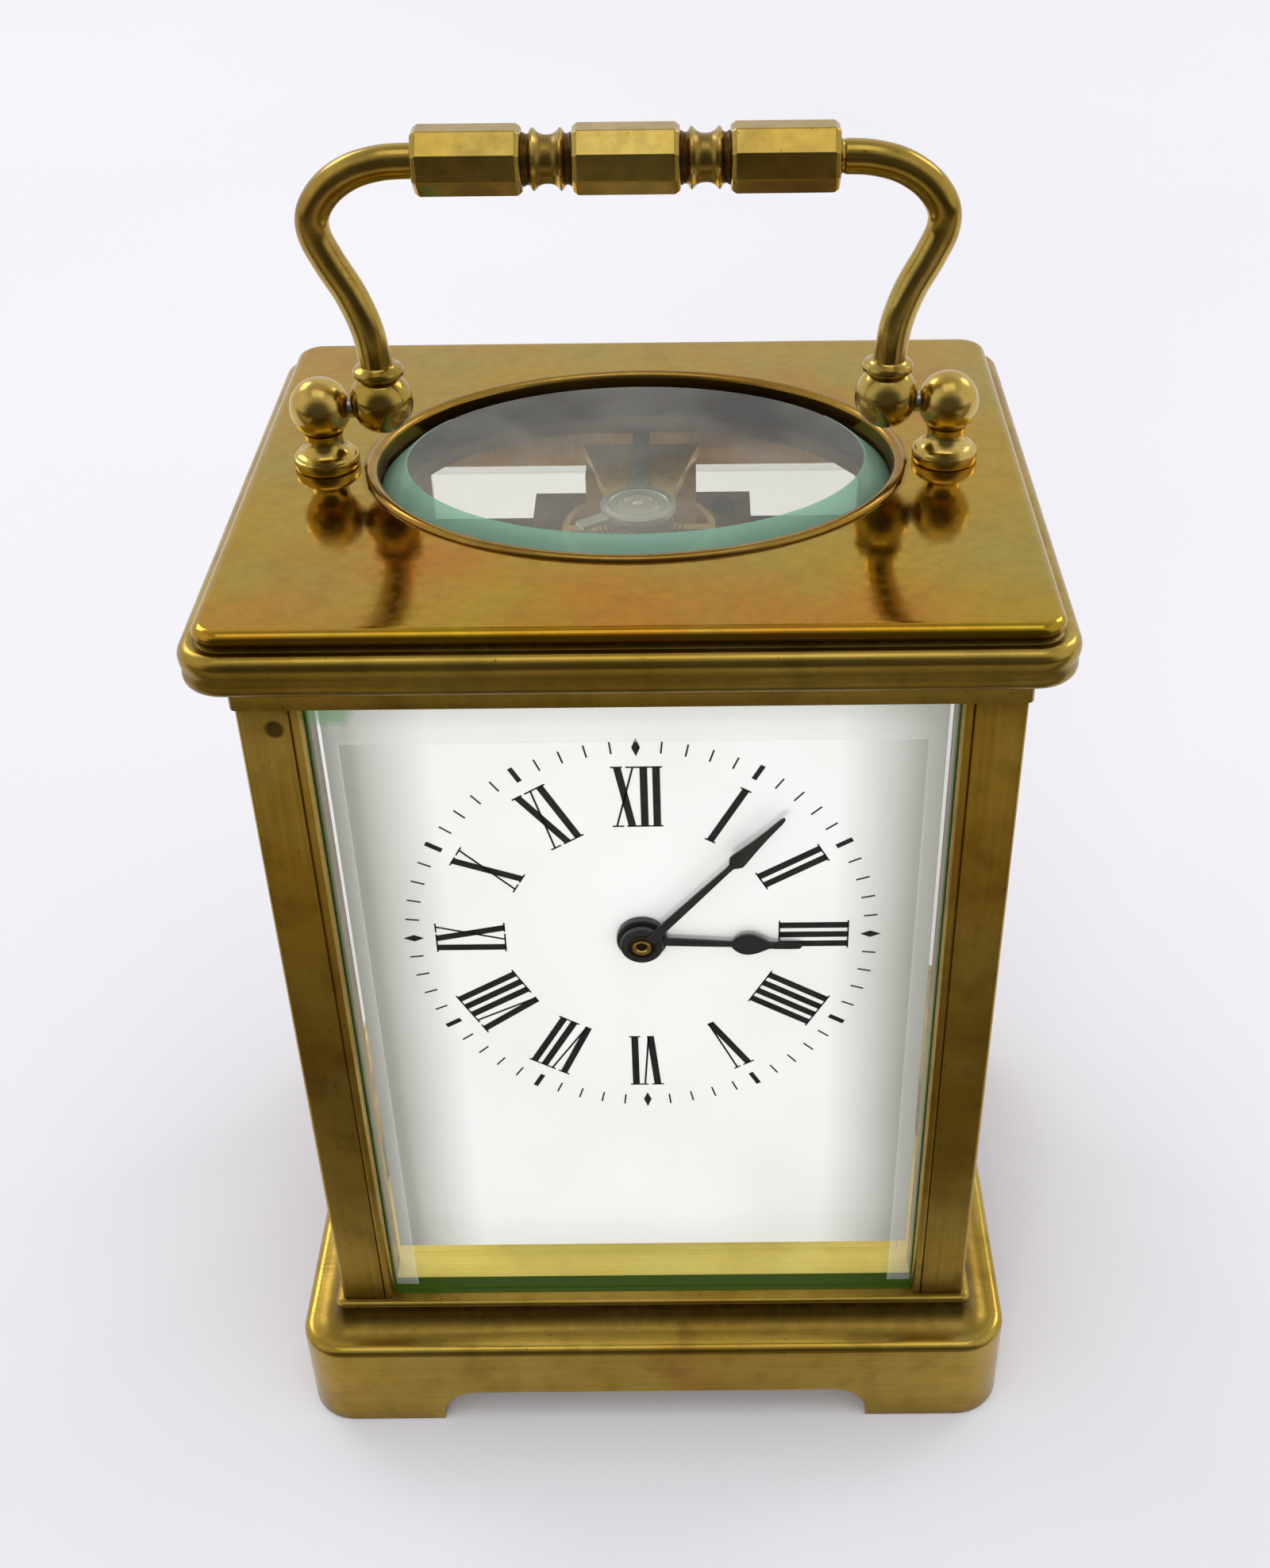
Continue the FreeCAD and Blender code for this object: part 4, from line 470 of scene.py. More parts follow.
UPRIGHT, ALONG, DEEP = (1, 1, 0.02), (0.02, 1, 1), (1, 0.02, 1)
PLATE_BRASS = aged_brass("plate_brass", (180, 144, 36), (170, 146, 58), (188, 122, 30), (88, 60, 18),
                         rough=0.09, warm_share=0.55, pits=0.3, seed=0.4, strength=0.15)
CASE_BRASS = aged_brass("case_brass", (172, 140, 54), (184, 156, 72), (150, 98, 36), (62, 40, 14),
                        rough=0.2, grain=ALONG, pits=0.6, seed=1.3)
PILLAR_BRASS = aged_brass("pillar_brass", (176, 140, 48), (190, 160, 74), (150, 98, 32), (62, 40, 12),
                          rough=0.28, grain=UPRIGHT, pits=0.7, seed=2.2)
MARKED_BRASS = aged_brass("marked_pillar_brass", (178, 142, 50), (192, 162, 78), (152, 102, 34), (62, 40, 12),
                          rough=0.28, grain=UPRIGHT, pits=0.7, seed=2.9,
                          spot=((-32.6, -29.5, 95.6), (0.95, 2.0, 1.0)))
HANDLE_BRASS = aged_brass("handle_brass", (174, 144, 62), (188, 162, 84), (146, 98, 36), (70, 42, 14),
                          rough=0.17, pits=0.6, seed=3.7)
TURNED_BRASS = aged_brass("turned_brass", (196, 164, 80), (208, 180, 100), (160, 112, 48), (74, 48, 20),
                          rough=0.19, pits=0.35, seed=4.6)
BEZEL_BRASS = aged_brass("bezel_brass", (160, 122, 48), (174, 140, 66), (140, 96, 36), (60, 38, 16),
                         rough=0.2, pits=0.5, seed=5.2)
DOOR_BRASS = aged_brass("door_brass", (162, 134, 64), (178, 152, 88), (144, 98, 40), (58, 40, 16),
                        rough=0.26, grain=UPRIGHT, pits=0.6, seed=6.4)
# Painted light: a pale non-metal colour and a glow make the floor inside the case bright, though little light
# reaches it.
FLOOR_BRASS_PAINTED_GLOW = aged_brass("floor_brass_painted_glow", (240, 222, 110), (244, 230, 130), (222, 190, 90), (150, 124, 56),
                         rough=0.3, grain=ALONG, pits=0.3, seed=7.7, metal=0.0, painted_glow=0.24)
WORKS_BRASS = clean_metal("works_brass", (196, 160, 84), (206, 174, 104), 0.28, scale=120)
WHEEL_BRASS = clean_metal("wheel_brass", (206, 166, 78), (196, 152, 70), 0.24)
GILT = clean_metal("gilt", (240, 212, 140), (232, 198, 124), 0.42, scale=200)
STEEL = clean_metal("steel", (172, 174, 172), (150, 153, 153), 0.24, grain=DEEP)
GREY_STEEL = clean_metal("grey_steel", (186, 187, 180), (168, 170, 164), 0.4)
SPRING_STEEL = clean_metal("spring_steel", (112, 118, 130), (92, 98, 112), 0.3)
BLUED_STEEL = clean_metal("blued_steel", (30, 34, 46), (22, 24, 32), 0.3)
SCREW_STEEL = clean_metal("screw_steel", (140, 140, 136), (118, 118, 116), 0.3)
COLLET_BRONZE = clean_metal("collet_bronze", (74, 60, 38), (52, 42, 28), 0.32)
# The enamel takes painted shade towards both sides, where the pillars shade the dial.
ENAMEL = coating("dial_enamel", (246, 247, 248), (242, 243, 244), 0.16, coat=0.4, scale=40,
                 bump=0.01, painted_shade=(19.5, 27.5, (180, 182, 176)))
INK = coating("dial_ink", (16, 16, 19), (30, 30, 33), 0.4, scale=900)
HAND_BLACK = coating("hand_black", (20, 20, 24), (32, 31, 34), 0.32, coat=0.3, scale=500)
RUBY = coating("jewel_pale", (214, 190, 184), (196, 164, 160), 0.12, coat=1.0, scale=600)
# Both panes take a painted bevel: a greyer band with a pale line at its edge.
FRONT_PANE = glazing("front_pane_glass", (252, 252, 250), (214, 216, 208), 0.0, mirror=0.3,
                     bevel=("X", BODY_X - PILLAR - 2.7, PILLAR_FOOT - 2.0, PILLAR_TOP - 5.5, 0.24),
                     stain=((-28.4, -28.0, PILLAR_TOP - 2.2), (3.0, 2.0, 1.35)))
SIDE_PANE = glazing("side_pane_glass", (252, 252, 250), (214, 216, 208), 0.0, mirror=0.3,
                    bevel=("Y", BODY_Y - PILLAR - 2.7, PILLAR_FOOT + 2.7, PILLAR_TOP - 4.4, 0.25))
TOP_PANE = glazing("top_glass_face", (246, 247, 242), (208, 204, 190), 0.07, mirror=0.6, smear=0.27)
# Painted shade: the oval glass's far bevel gets a dark, nearly opaque body for the darkness it would show.
FAR_BEVEL_PAINTED_DARK = glazing("top_glass_far_bevel_painted_shade", (70, 68, 58), (30, 27, 20), 0.85, mirror=0.2)
TOP_BEVEL = glazing("top_glass_bevel", (158, 190, 176), (146, 188, 166), 0.72, mirror=0.4)
GREEN_EDGE = glazing("glass_edge_green", (60, 112, 50), (62, 86, 20), 0.85, mirror=0.3)


# ---- case

def paint_soil_and_shade(mesh, amounts):
    """Writes how much dark soil and painted shade lies at each vertex."""
    layer = mesh.attributes.new("soil_and_shade", "FLOAT", "POINT")
    for entry, amount in zip(layer.data, amounts):
        entry.value = amount


def swept(profile):
    """Closed moulding through loops of points, each given with how much dark soil and painted shade lies on
    it.
    """
    mesh = skin([loop for loop, _ in profile], ring=True)
    paint_soil_and_shade(mesh, [soil_and_shade for loop, soil_and_shade in profile for _ in loop])
    return mesh


def moulded(over, z, soil_and_shade=0.0):
    """One loop of a moulding: how far it stands out, its height and its soil and painted shade."""
    return frame_loop(over, z, max(0.3 + over, 0.05)), soil_and_shade


BASE_TOP = base_high.z
BLOCK_TOP = BASE_TOP - 4.4
floor_low, floor_high = extent("base_floor")
WELL_X, WELL_Y = floor_high.x + 0.05, floor_high.y + 0.05


def plain_loop(half_x, half_y, z):
    return [(x, y, z) for x, y in round_rectangle(half_x, half_y, 0.05)]


def base_moulding():
    """Ogee base: block with a rounded top, cove, bead under the pillars, well with a painted glow, four
    bracket feet.
    """
    b, t, o = BLOCK_TOP, BASE_TOP, BASE_OVER
    # The third number of each loop is soil and painted shade: darker at the block's foot, growing up the
    # cove, darkest in the quirk under the bead.
    profile = [moulded(o - 0.35, 0.0, 0.8), moulded(o - 0.08, 0.12, 0.6), moulded(o, 0.45, 0.35)]
    profile += [moulded(o, 0.45 + (b - 0.85) * k / 10, 0.25 * (1 - k / 10) ** 3) for k in range(1, 11)]
    for k in range(0, 11):
        a = math.radians(90 * k / 10)
        profile.append(moulded(o - 1.2 * (1 - math.cos(a)), b + 0.95 * math.sin(a)))
    low_x, low_z = o - 1.2, b + 0.95
    high_x, high_z = 0.6, t - 1.0
    for k in range(1, 11):
        a = math.radians(90 * k / 10)
        profile.append(moulded(
            low_x - (low_x - high_x) * math.sin(a), low_z + (high_z - low_z) * (1 - math.cos(a)),
            0.3 + 0.06 * k,
        ))
    profile += [
        moulded(0.5, t - 0.9, 1.0), moulded(0.66, t - 0.78, 0.5), moulded(0.8, t - 0.6, 0.1),
        moulded(0.84, t - 0.45), moulded(0.78, t - 0.28), moulded(0.6, t - 0.1, 0.1), moulded(0.35, t, 0.4),
    ]
    profile += [
        (plain_loop(BODY_X - 1.6, BODY_Y - 1.6, t), 0.4),
        (plain_loop(WELL_X, WELL_Y, t), 0.1), (plain_loop(WELL_X, WELL_Y, floor_low.z), 0.6),
        (plain_loop(WELL_X - 2, WELL_Y - 2, floor_low.z), 0.6),
        (plain_loop(WELL_X - 2, WELL_Y - 2, 5.0), 0.8),
        (plain_loop(BODY_X + 1, BODY_Y + 1, 5.0), 0.8), (plain_loop(BODY_X + 1, BODY_Y + 1, 0.0), 0.8),
    ]
    mesh = swept(profile)
    for half, long, across in ((base_high.x - 16, 60, False), (base_high.y - 16, 60, True)):
        right, left = arc(half - 4, 1.0, 4.0, 0, 90, 10), arc(4 - half, 1.0, 4.0, 90, 180, 10)
        outline = [(half, -3), *right, *left, (-half, -3)]
        sides = [[(u, -long, v) for u, v in outline], [(u, long, v) for u, v in outline]]
        if across:
            sides = [[(y, u, v) for u, y, v in side] for side in sides]
        mesh = carve(mesh, skin(sides))
    piece = link(mesh, "base", [CASE_BRASS, FLOOR_BRASS_PAINTED_GLOW], CASE, "base_moulding", sharp=28)
    # The well's flat floor takes the brass with a painted glow.
    for face in mesh.polygons:
        x, y, z = face.center / MM
        if z > BASE_TOP - 0.01 and abs(x) < BODY_X - 1.6 and abs(y) < BODY_Y - 1.6:
            face.material_index = 1
    return soften(piece, 0.16, 2, 40)


def top_frame():
    """Fascia, cornice with a hollowed front, quirk darkened by soil and painted shade, polished plate and the
    stepped oval opening.
    """
    t, z = TOP, PILLAR_TOP
    c = CORNICE_OVER
    # The third number of each loop is soil and painted shade: darkest under the cornice's overhang, in the
    # quirk below the plate and inside the opening.
    profile = [
        moulded(0.35, z - 0.55, 0.5), moulded(0.35, z + 0.6, 0.3), moulded(0.35, z + 2.4, 0.5),
        moulded(0.6, z + 2.72, 0.9), moulded(2.7, z + 2.78, 0.9), moulded(3.25, z + 2.86, 0.6),
        moulded(3.6, z + 3.05, 0.45), moulded(3.8, z + 3.32, 0.4), moulded(3.88, z + 3.7, 0.35),
        moulded(3.86, z + 4.1, 0.45), moulded(3.82, z + 4.45, 0.5), moulded(3.88, z + 4.8, 0.35),
        moulded(3.97, z + 5.2, 0.25), moulded(c, z + 5.6, 0.2),
    ]
    for k in range(1, 9):
        a = math.radians(90 * k / 8)
        soil_and_shade = 0.2 * (1 - k / 8) ** 1.5
        profile.append(moulded(c - 1.1 + 1.1 * math.cos(a), t - 3.0 + 1.2 * math.sin(a), soil_and_shade))
    profile += [
        moulded(2.75, t - 1.82, 0.1), moulded(2.35, t - 1.84, 0.6), moulded(2.1, t - 1.7, 0.75),
        moulded(2.06, t - 1.5, 1.0), moulded(2.2, t - 1.32, 0.7),
    ]
    for k in range(0, 9):
        a = math.radians(90 * k / 8)
        soil_and_shade = 0.25 * (1 - k / 8) ** 3
        profile.append(moulded(1.4 + 1.05 * math.cos(a), t - 0.9 + 0.9 * math.sin(a), soil_and_shade))
    profile += [moulded(1.0, t), moulded(0.2, t)]
    seat, ledge = bezel_low.z, glass_low.z
    inner = OVAL_X - (glass_high.x - glass_low.x) / 2 - 0.1
    profile += [
        (oval_loop(-0.6, t), 0.0), (oval_loop(-0.12, t), 0.5), (oval_loop(-0.02, t - 0.12), 1.0),
        (oval_loop(-0.02, seat), 1.0), (oval_loop(inner, seat), 1.0), (oval_loop(inner, ledge), 1.0),
        (oval_loop(inner + 1.3, ledge), 0.8), (oval_loop(inner + 1.3, z + 3.1), 0.8),
        (plain_loop(29.0, 26.5, z + 3.1), 0.8), (plain_loop(29.0, 26.5, z), 0.8),
        (plain_loop(BODY_X + 0.1, BODY_Y + 0.1, z), 0.8),
        (plain_loop(BODY_X + 0.1, BODY_Y + 0.1, z - 0.55), 0.8),
    ]
    mesh = swept(profile)
    piece = link(mesh, "top_moulding", [CASE_BRASS, PLATE_BRASS], CASE, "top_frame", sharp=28)
    for face in mesh.polygons:
        if face.center.z > (t - 1.25) * MM:
            face.material_index = 1
    return piece


def oval_ring(sections, name, finishes, *replaced, caps=False, sharp=32.0):
    """Ring or slab through ovals given as half sizes and height."""
    loops = []
    for half_x, half_y, z in sections:
        loops.append([
            (half_x * math.cos(a), OVAL.y + half_y * math.sin(a), z)
            for a in (2 * math.pi * k / 144 for k in range(144))
        ])
    return link(skin(loops, ring=not caps), name, finishes, CASE, *replaced, sharp=sharp)


def oval_light():
    """Rounded bezel ring, and the thick oval glass with its wide polished bevel, its far side dark with
    painted shade.
    """
    low, x, y = bezel_low.z, OVAL_X, OVAL_Y
    crown = (
        (0.0, 0.05), (0.05, 0.22), (0.2, 0.38), (0.45, 0.47), (0.7, 0.47), (0.98, 0.36), (1.2, 0.15),
        (1.3, -0.15),
    )
    ring = [(0.0, low), *((i, TOP + z) for i, z in crown), (1.3, low)]
    oval_ring([(x - i, y - i, z) for i, z in ring], "bezel_ring", BEZEL_BRASS, "oval_bezel")
    gx, gy = (glass_high.x - glass_low.x) / 2, (glass_high.y - glass_low.y) / 2
    shoulder = glass_low.z + 2.1
    slab = [
        (gx - 0.3, gy - 0.3, glass_low.z), (gx, gy, glass_low.z + 0.3), (gx, gy, shoulder - 0.1),
        (gx - 0.12, gy - 0.12, shoulder + 0.06),
        (gx - 2.5, gy - 3.15, glass_high.z - 0.08), (gx - 2.75, gy - 3.4, glass_high.z),
    ]
    piece = oval_ring(slab, "oval_glass", [TOP_PANE, TOP_BEVEL, FAR_BEVEL_PAINTED_DARK], "top_glass", caps=True, sharp=8)
    # Sloping faces take the bevel glass; those on the far side take the painted dark one.
    for face in piece.data.polygons:
        if abs(face.normal.z) < 0.985:
            face.material_index = 2 if face.center.y > (OVAL.y + 0.45 * gy) * MM else 1


def pillar_outline(grooves):
    """Section of a pillar, +X and +Y outwards: round outer arris, quirked bead along each inner edge."""
    half = PILLAR / 2
    face = [
        (half - 0.5, half), (-1.75, half), (-1.87, half - 0.05), (-1.93, half - 0.17), (-2.0, half - 0.17),
        (-2.07, half - 0.05), (-2.2, half), (-2.5, half), (-2.75, half - 0.08), (-half + 0.05, half - 0.32),
        (-half, half - 0.6),
    ]
    slot = [(-half, 1.55), (-half + 1.0, 1.55), (-half + 1.0, -0.05), (-half, -0.05)]
    front = face + (slot if grooves[0] else [])
    side = face + (slot if grooves[1] else [])
    corner = arc(half - 0.5, half - 0.5, 0.5, 0, 90, 6)[1:-1]
    return corner + front + [(-half, -half)] + [(y, x) for x, y in reversed(side)]


def pillars():
    """Four pillars; a front one is grooved for two panes, a rear one for the side pane only."""
    for name, across, deep in (
        ("pillar_front_left", -1, -1), ("pillar_front_right", 1, -1),
        ("pillar_rear_left", -1, 1), ("pillar_rear_right", 1, 1),
    ):
        outline = pillar_outline((deep < 0, True))
        x, y = across * (BODY_X - PILLAR / 2), deep * (BODY_Y - PILLAR / 2)
        loops = []
        heights = [PILLAR_FOOT + (PILLAR_TOP - PILLAR_FOOT) * k / 30 for k in range(31)]
        for z in heights:
            loops.append([(x + across * u, y + deep * v, z) for u, v in outline])
        mesh = skin(loops)
        # Soil and painted shade: dark in the quirk beside each bead, a little lighter on the bead, darker
        # towards both ends where the base and the cornice shade the pillar.
        soil_and_shade = []
        for z in heights:
            ends = max(0.0, 1 - (z - PILLAR_FOOT) / 7) ** 2 + max(0.0, 1 - (PILLAR_TOP - z) / 4) ** 2
            for u, v in outline:
                quirk = 0.7 if -2.05 < min(u, v) < -1.9 and max(u, v) > PILLAR / 2 - 0.4 else 0.0
                bead = -0.1 if min(u, v) < -2.05 else 0.0
                soil_and_shade.append(max(0.0, min(1.0, quirk + bead + 0.5 * ends)))
        paint_soil_and_shade(mesh, soil_and_shade)
        finish = MARKED_BRASS if name == "pillar_front_left" else PILLAR_BRASS
        link(mesh, name + "_shape", finish, CASE, name, sharp=24)


def pane_edges():
    """Green ends of the panes where they stand on the base and run into the pillars."""
    front = extent("front_glass")
    inner_x, inner_y, thin, skin_over = BODY_X - PILLAR, BODY_Y - PILLAR, 0.14, 0.02
    strips = [
        ((-inner_x, front[0].y - skin_over, PILLAR_FOOT), (inner_x, front[1].y, PILLAR_FOOT + 0.3)),
        ((-inner_x, -BODY_Y + 0.85, PILLAR_FOOT), (inner_x, front[0].y, PILLAR_FOOT + 0.1)),
    ]
    for side in (-1, 1):
        low, high = sorted((side * inner_x, side * (inner_x - thin)))
        strips.append(((low, front[0].y - skin_over, PILLAR_FOOT), (high, front[1].y, PILLAR_TOP)))
        pane = extent("right_glass" if side > 0 else "left_glass")
        left, right = pane[0].x - skin_over, pane[1].x + skin_over
        strips.append(((left, -inner_y, PILLAR_FOOT), (right, inner_y, PILLAR_FOOT + 0.5)))
        for end in (-1, 1):
            low, high = sorted((end * inner_y, end * (inner_y - thin)))
            strips.append(((left, low, PILLAR_FOOT), (right, high, PILLAR_TOP)))
    meshes = []
    for low, high in strips:
        outline = round_rectangle((high[0] - low[0]) / 2, (high[1] - low[1]) / 2, 0.08, 2, 2)
        shape = [(x + (low[0] + high[0]) / 2, y + (low[1] + high[1]) / 2) for x, y in outline]
        meshes.append(plate(shape, low[2], high[2]))
    link(joined(*meshes), "pane_edges", GREEN_EDGE, CASE)


# ---- carrying handle

def ball(radius, flat):
    """Sphere about the origin, cut flat across +X at a distance."""
    profile = [(0.0, -radius)]
    profile += [p for p in arc(0, 0, radius, -84, 66, 25) if p[1] < flat]
    rim = math.sqrt(radius ** 2 - flat ** 2)
    mesh = lathe(profile + [(rim, flat), (0.0, flat)], 72)
    mesh.transform(ALONG_X)
    return mesh


def posts():
    """Turned posts: disc foot, waisted neck, ball cut flat towards the handle."""
    for name, side in (("handle_post_left", -1), ("handle_post_right", 1)):
        profile = [
            (0, 0), (3.05, 0), (3.2, 0.08), (3.25, 0.25), (3.25, 0.95), (3.2, 1.1), (3.02, 1.16),
            (2.98, 1.26), (2.9, 1.42), (2.6, 1.52), (2.45, 1.6), (2.2, 1.85), (1.98, 2.15), (1.84, 2.5),
            (1.8, 2.85), (1.86, 3.2), (2.0, 3.6), (0, 3.6),
        ]
        foot = moved(lathe(profile, 72), side * abs(POST.x), PIVOT.y, TOP)
        head = moved(ball(3.0, 2.9), side * abs(POST.x), PIVOT.y, PIVOT.z, turn(180 if side > 0 else 0, "Z"))
        link(joined(foot, head), name + "_turning", TURNED_BRASS, CASE, name, sharp=26)


ARM_LINE = (
    (0.15, 4.3), (0.55, 7.8), (1.7, 11.3), (3.4, 14.6), (4.45, 17.2), (4.3, 19.3),
    (2.8, 21.4), (0.4, 22.95), (-2.4, 23.7), (-5.35, 23.85), (-6.4, 23.85),
)
KNUCKLE_X = 24.75
MIDDLE_END, OUTER_START = 4.93, 9.45      # where the bar's middle octagon ends and the outer ones start


def handle():
    """Swan-neck arms with collared ball knuckles, and the bar: three octagons parted by waisted spools."""
    for name, side in (("handle_arm_left", -1), ("handle_arm_right", 1)):
        line = curve_points([(side * (KNUCKLE_X + out), PIVOT.y, PIVOT.z + up) for out, up in ARM_LINE], 14)
        seam = 0.885 if side > 0 else 2.0
        arm = tube(line, lambda t: 1.575 - 0.12 * math.exp(-((t - seam) / 0.005) ** 2))
        collar = lathe([
            (0, 2.4), (2.1, 2.5), (1.85, 2.95), (1.88, 3.15), (2.2, 3.28), (2.42, 3.42), (2.5, 3.65),
            (2.48, 3.9), (2.36, 4.12), (2.1, 4.26), (1.85, 4.34), (1.7, 4.5), (0, 4.5),
        ], 72)
        collar = moved(collar, side * KNUCKLE_X, PIVOT.y, PIVOT.z)
        knuckle = moved(
            ball(3.1, 3.0), side * KNUCKLE_X, PIVOT.y, PIVOT.z + 0.65, turn(0 if side > 0 else 180, "Z")
        )
        link(joined(arm, collar, knuckle), name + "_swan", HANDLE_BRASS, HANDLE, name, sharp=30)
    parts = []
    radius = (BAR_HIGH - BAR_LOW) / 2 / math.cos(math.pi / 8)
    for low, high in ((-BAR_END, -OUTER_START), (-MIDDLE_END, MIDDLE_END), (OUTER_START, BAR_END)):
        loops = []
        ends = ((0.0, 0.5), (0.12, 0.28), (0.5, 0.0))
        rows = [(low + step, shrink) for step, shrink in ends]
        rows += [(high - step, shrink) for step, shrink in reversed(ends)]
        for x, shrink in rows:
            size = radius - shrink
            loops.append([
                (x, BAR.y + size * math.sin(a), BAR.z + size * math.cos(a))
                for a in (math.radians(22.5 + 45 * k) for k in range(8))
            ])
        parts.append(skin(loops))
    bar = link(joined(*parts), "grip_octagons", HANDLE_BRASS, HANDLE, "handle_grip", sharp=20)
    soften(bar, 0.14, 3, 25)
    spools = []
    for start in (-OUTER_START, MIDDLE_END):
        spool = lathe([
            (0, -0.6), (2.3, -0.6), (2.35, 0.12), (2.22, 0.3), (2.2, 0.5), (2.3, 0.66), (2.6, 0.8),
            (2.72, 0.92), (2.74, 1.06), (2.6, 1.2), (2.36, 1.4), (2.2, 1.7), (2.13, 2.0), (2.12, 2.26),
            (2.13, 2.52), (2.2, 2.82), (2.36, 3.12), (2.6, 3.32), (2.74, 3.46), (2.72, 3.6), (2.6, 3.72),
            (2.3, 3.86), (2.2, 4.02), (2.22, 4.22), (2.35, 4.4), (2.3, 5.12), (0, 5.12),
        ], 72)
        # Soil and painted shade: the spool ends against the octagons are darkest, the waist half dark, the
        # raised rings clean.
        soil_and_shade = []
        for vertex in spool.vertices:
            shallow = vertex.co.xy.length / MM > 2.5
            soil_and_shade.append(0.95 if abs(vertex.co.z / MM - 2.26) > 1.6 else 0.0 if shallow else 0.5)
        paint_soil_and_shade(spool, soil_and_shade)
        spools.append(moved(spool, start, BAR.y, BAR.z, ALONG_X))
    link(joined(*spools), "grip_spools", HANDLE_BRASS, HANDLE, sharp=34)


# ---- dial and hands

def on_dial(points, angle, y):
    """Points given across and along a clockwise direction from twelve, laid on the dial."""
    a = math.radians(angle)
    return [
        (u * math.cos(a) + v * math.sin(a), y, DIAL_CENTRE.z - u * math.sin(a) + v * math.cos(a))
        for u, v in points
    ]


def sheet(points, angle, front, back):
    return skin([on_dial(points, angle, front), on_dial(points, angle, back)])


THICK, THIN, SERIF = 0.74, 0.2, 0.16
NUMERAL_LOW, NUMERAL_HIGH = 14.0, 21.2
HOUR_ANGLE, MINUTE_ANGLE = 93.2, 41.5
LETTER = {"I": 1.22, "V": 2.35, "X": 2.55}


def stroke(x_low, x_high, low, high, wide):
    """Straight stroke from a low to a high end, of one width."""
    half = wide / 2
    return [(x_low - half, low), (x_low + half, low), (x_high + half, high), (x_high - half, high)]


def numeral(text, low, high):
    """Outlines of a Roman numeral between two radii, centred, in thick and thin strokes with serifs."""
    outlines, x = [], -sum(LETTER[c] for c in text) / 2
    for c in text:
        wide = LETTER[c]
        if c == "I":
            centre = x + wide / 2
            outlines.append(stroke(centre, centre, low, high, THICK))
            outlines += [stroke(centre, centre, z, z + SERIF, wide * 0.98) for z in (low, high - SERIF)]
        if c == "V":
            outlines.append(stroke(x + wide / 2 + 0.1, x + 0.6, low, high, THICK))
            outlines.append(stroke(x + wide / 2 + 0.3, x + wide - 0.35, low + 0.1, high, THIN))
            outlines.append(stroke(x + 0.6, x + 0.6, high - SERIF, high, 1.3))
            outlines.append(stroke(x + wide - 0.35, x + wide - 0.35, high - SERIF, high, 0.75))
        if c == "X":
            outlines.append(stroke(x + wide - 0.6, x + 0.6, low, high, THICK))
            outlines.append(stroke(x + 0.4, x + wide - 0.4, low, high, THIN))
            for z in (low, high - SERIF):
                outlines.append(stroke(x + 0.55, x + 0.55, z, z + SERIF, 1.15))
                outlines.append(stroke(x + wide - 0.55, x + wide - 0.55, z, z + SERIF, 1.15))
        x += wide
    return outlines


def dial_print():
    """Minute track and Roman numerals as a skin of ink on the enamel."""
    front, back = DIAL_FACE - 0.03, DIAL_FACE + 0.05
    parts = []
    numbers = ("XII", "I", "II", "III", "IIII", "V", "VI", "VII", "VIII", "IX", "X", "XI")
    for hour, text in enumerate(numbers):
        for outline in numeral(text, NUMERAL_LOW, NUMERAL_HIGH):
            parts.append(sheet(outline, hour * 30, front, back))
    for minute in range(60):
        if minute % 15 == 0:
            mark = [(0, 22.4), (0.42, 23.4), (0, 24.5), (-0.42, 23.4)]
        elif minute % 5 == 0:
            mark = stroke(0, 0, 22.6, 24.4, 0.52)
        else:
            mark = stroke(0, 0, 22.8, 24.2, 0.17)
        parts.append(sheet(mark, minute * 6, front, back))
    link(joined(*parts), "dial_print", INK, CASE)


def hand_outline(half):
    """Closed outline of a hand from its right-hand side, given as (half width, radius)."""
    return half + [(-u, v) for u, v in reversed(half) if u > 0.001]


def leaf(low, high, widest, steps=10, power=1.0):
    """Half widths of a rounded leaf between two radii."""
    return [
        (widest * math.sin(math.pi * (k / steps) ** power), low + (high - low) * k / steps)
        for k in range(1, steps)
    ]


def ring_stack(profile, y):
    """Turned collet that faces the front, from (radius, how far to the front) points."""
    return moved(lathe(profile, 64), 0, y, DIAL_CENTRE.z, TO_FRONT)


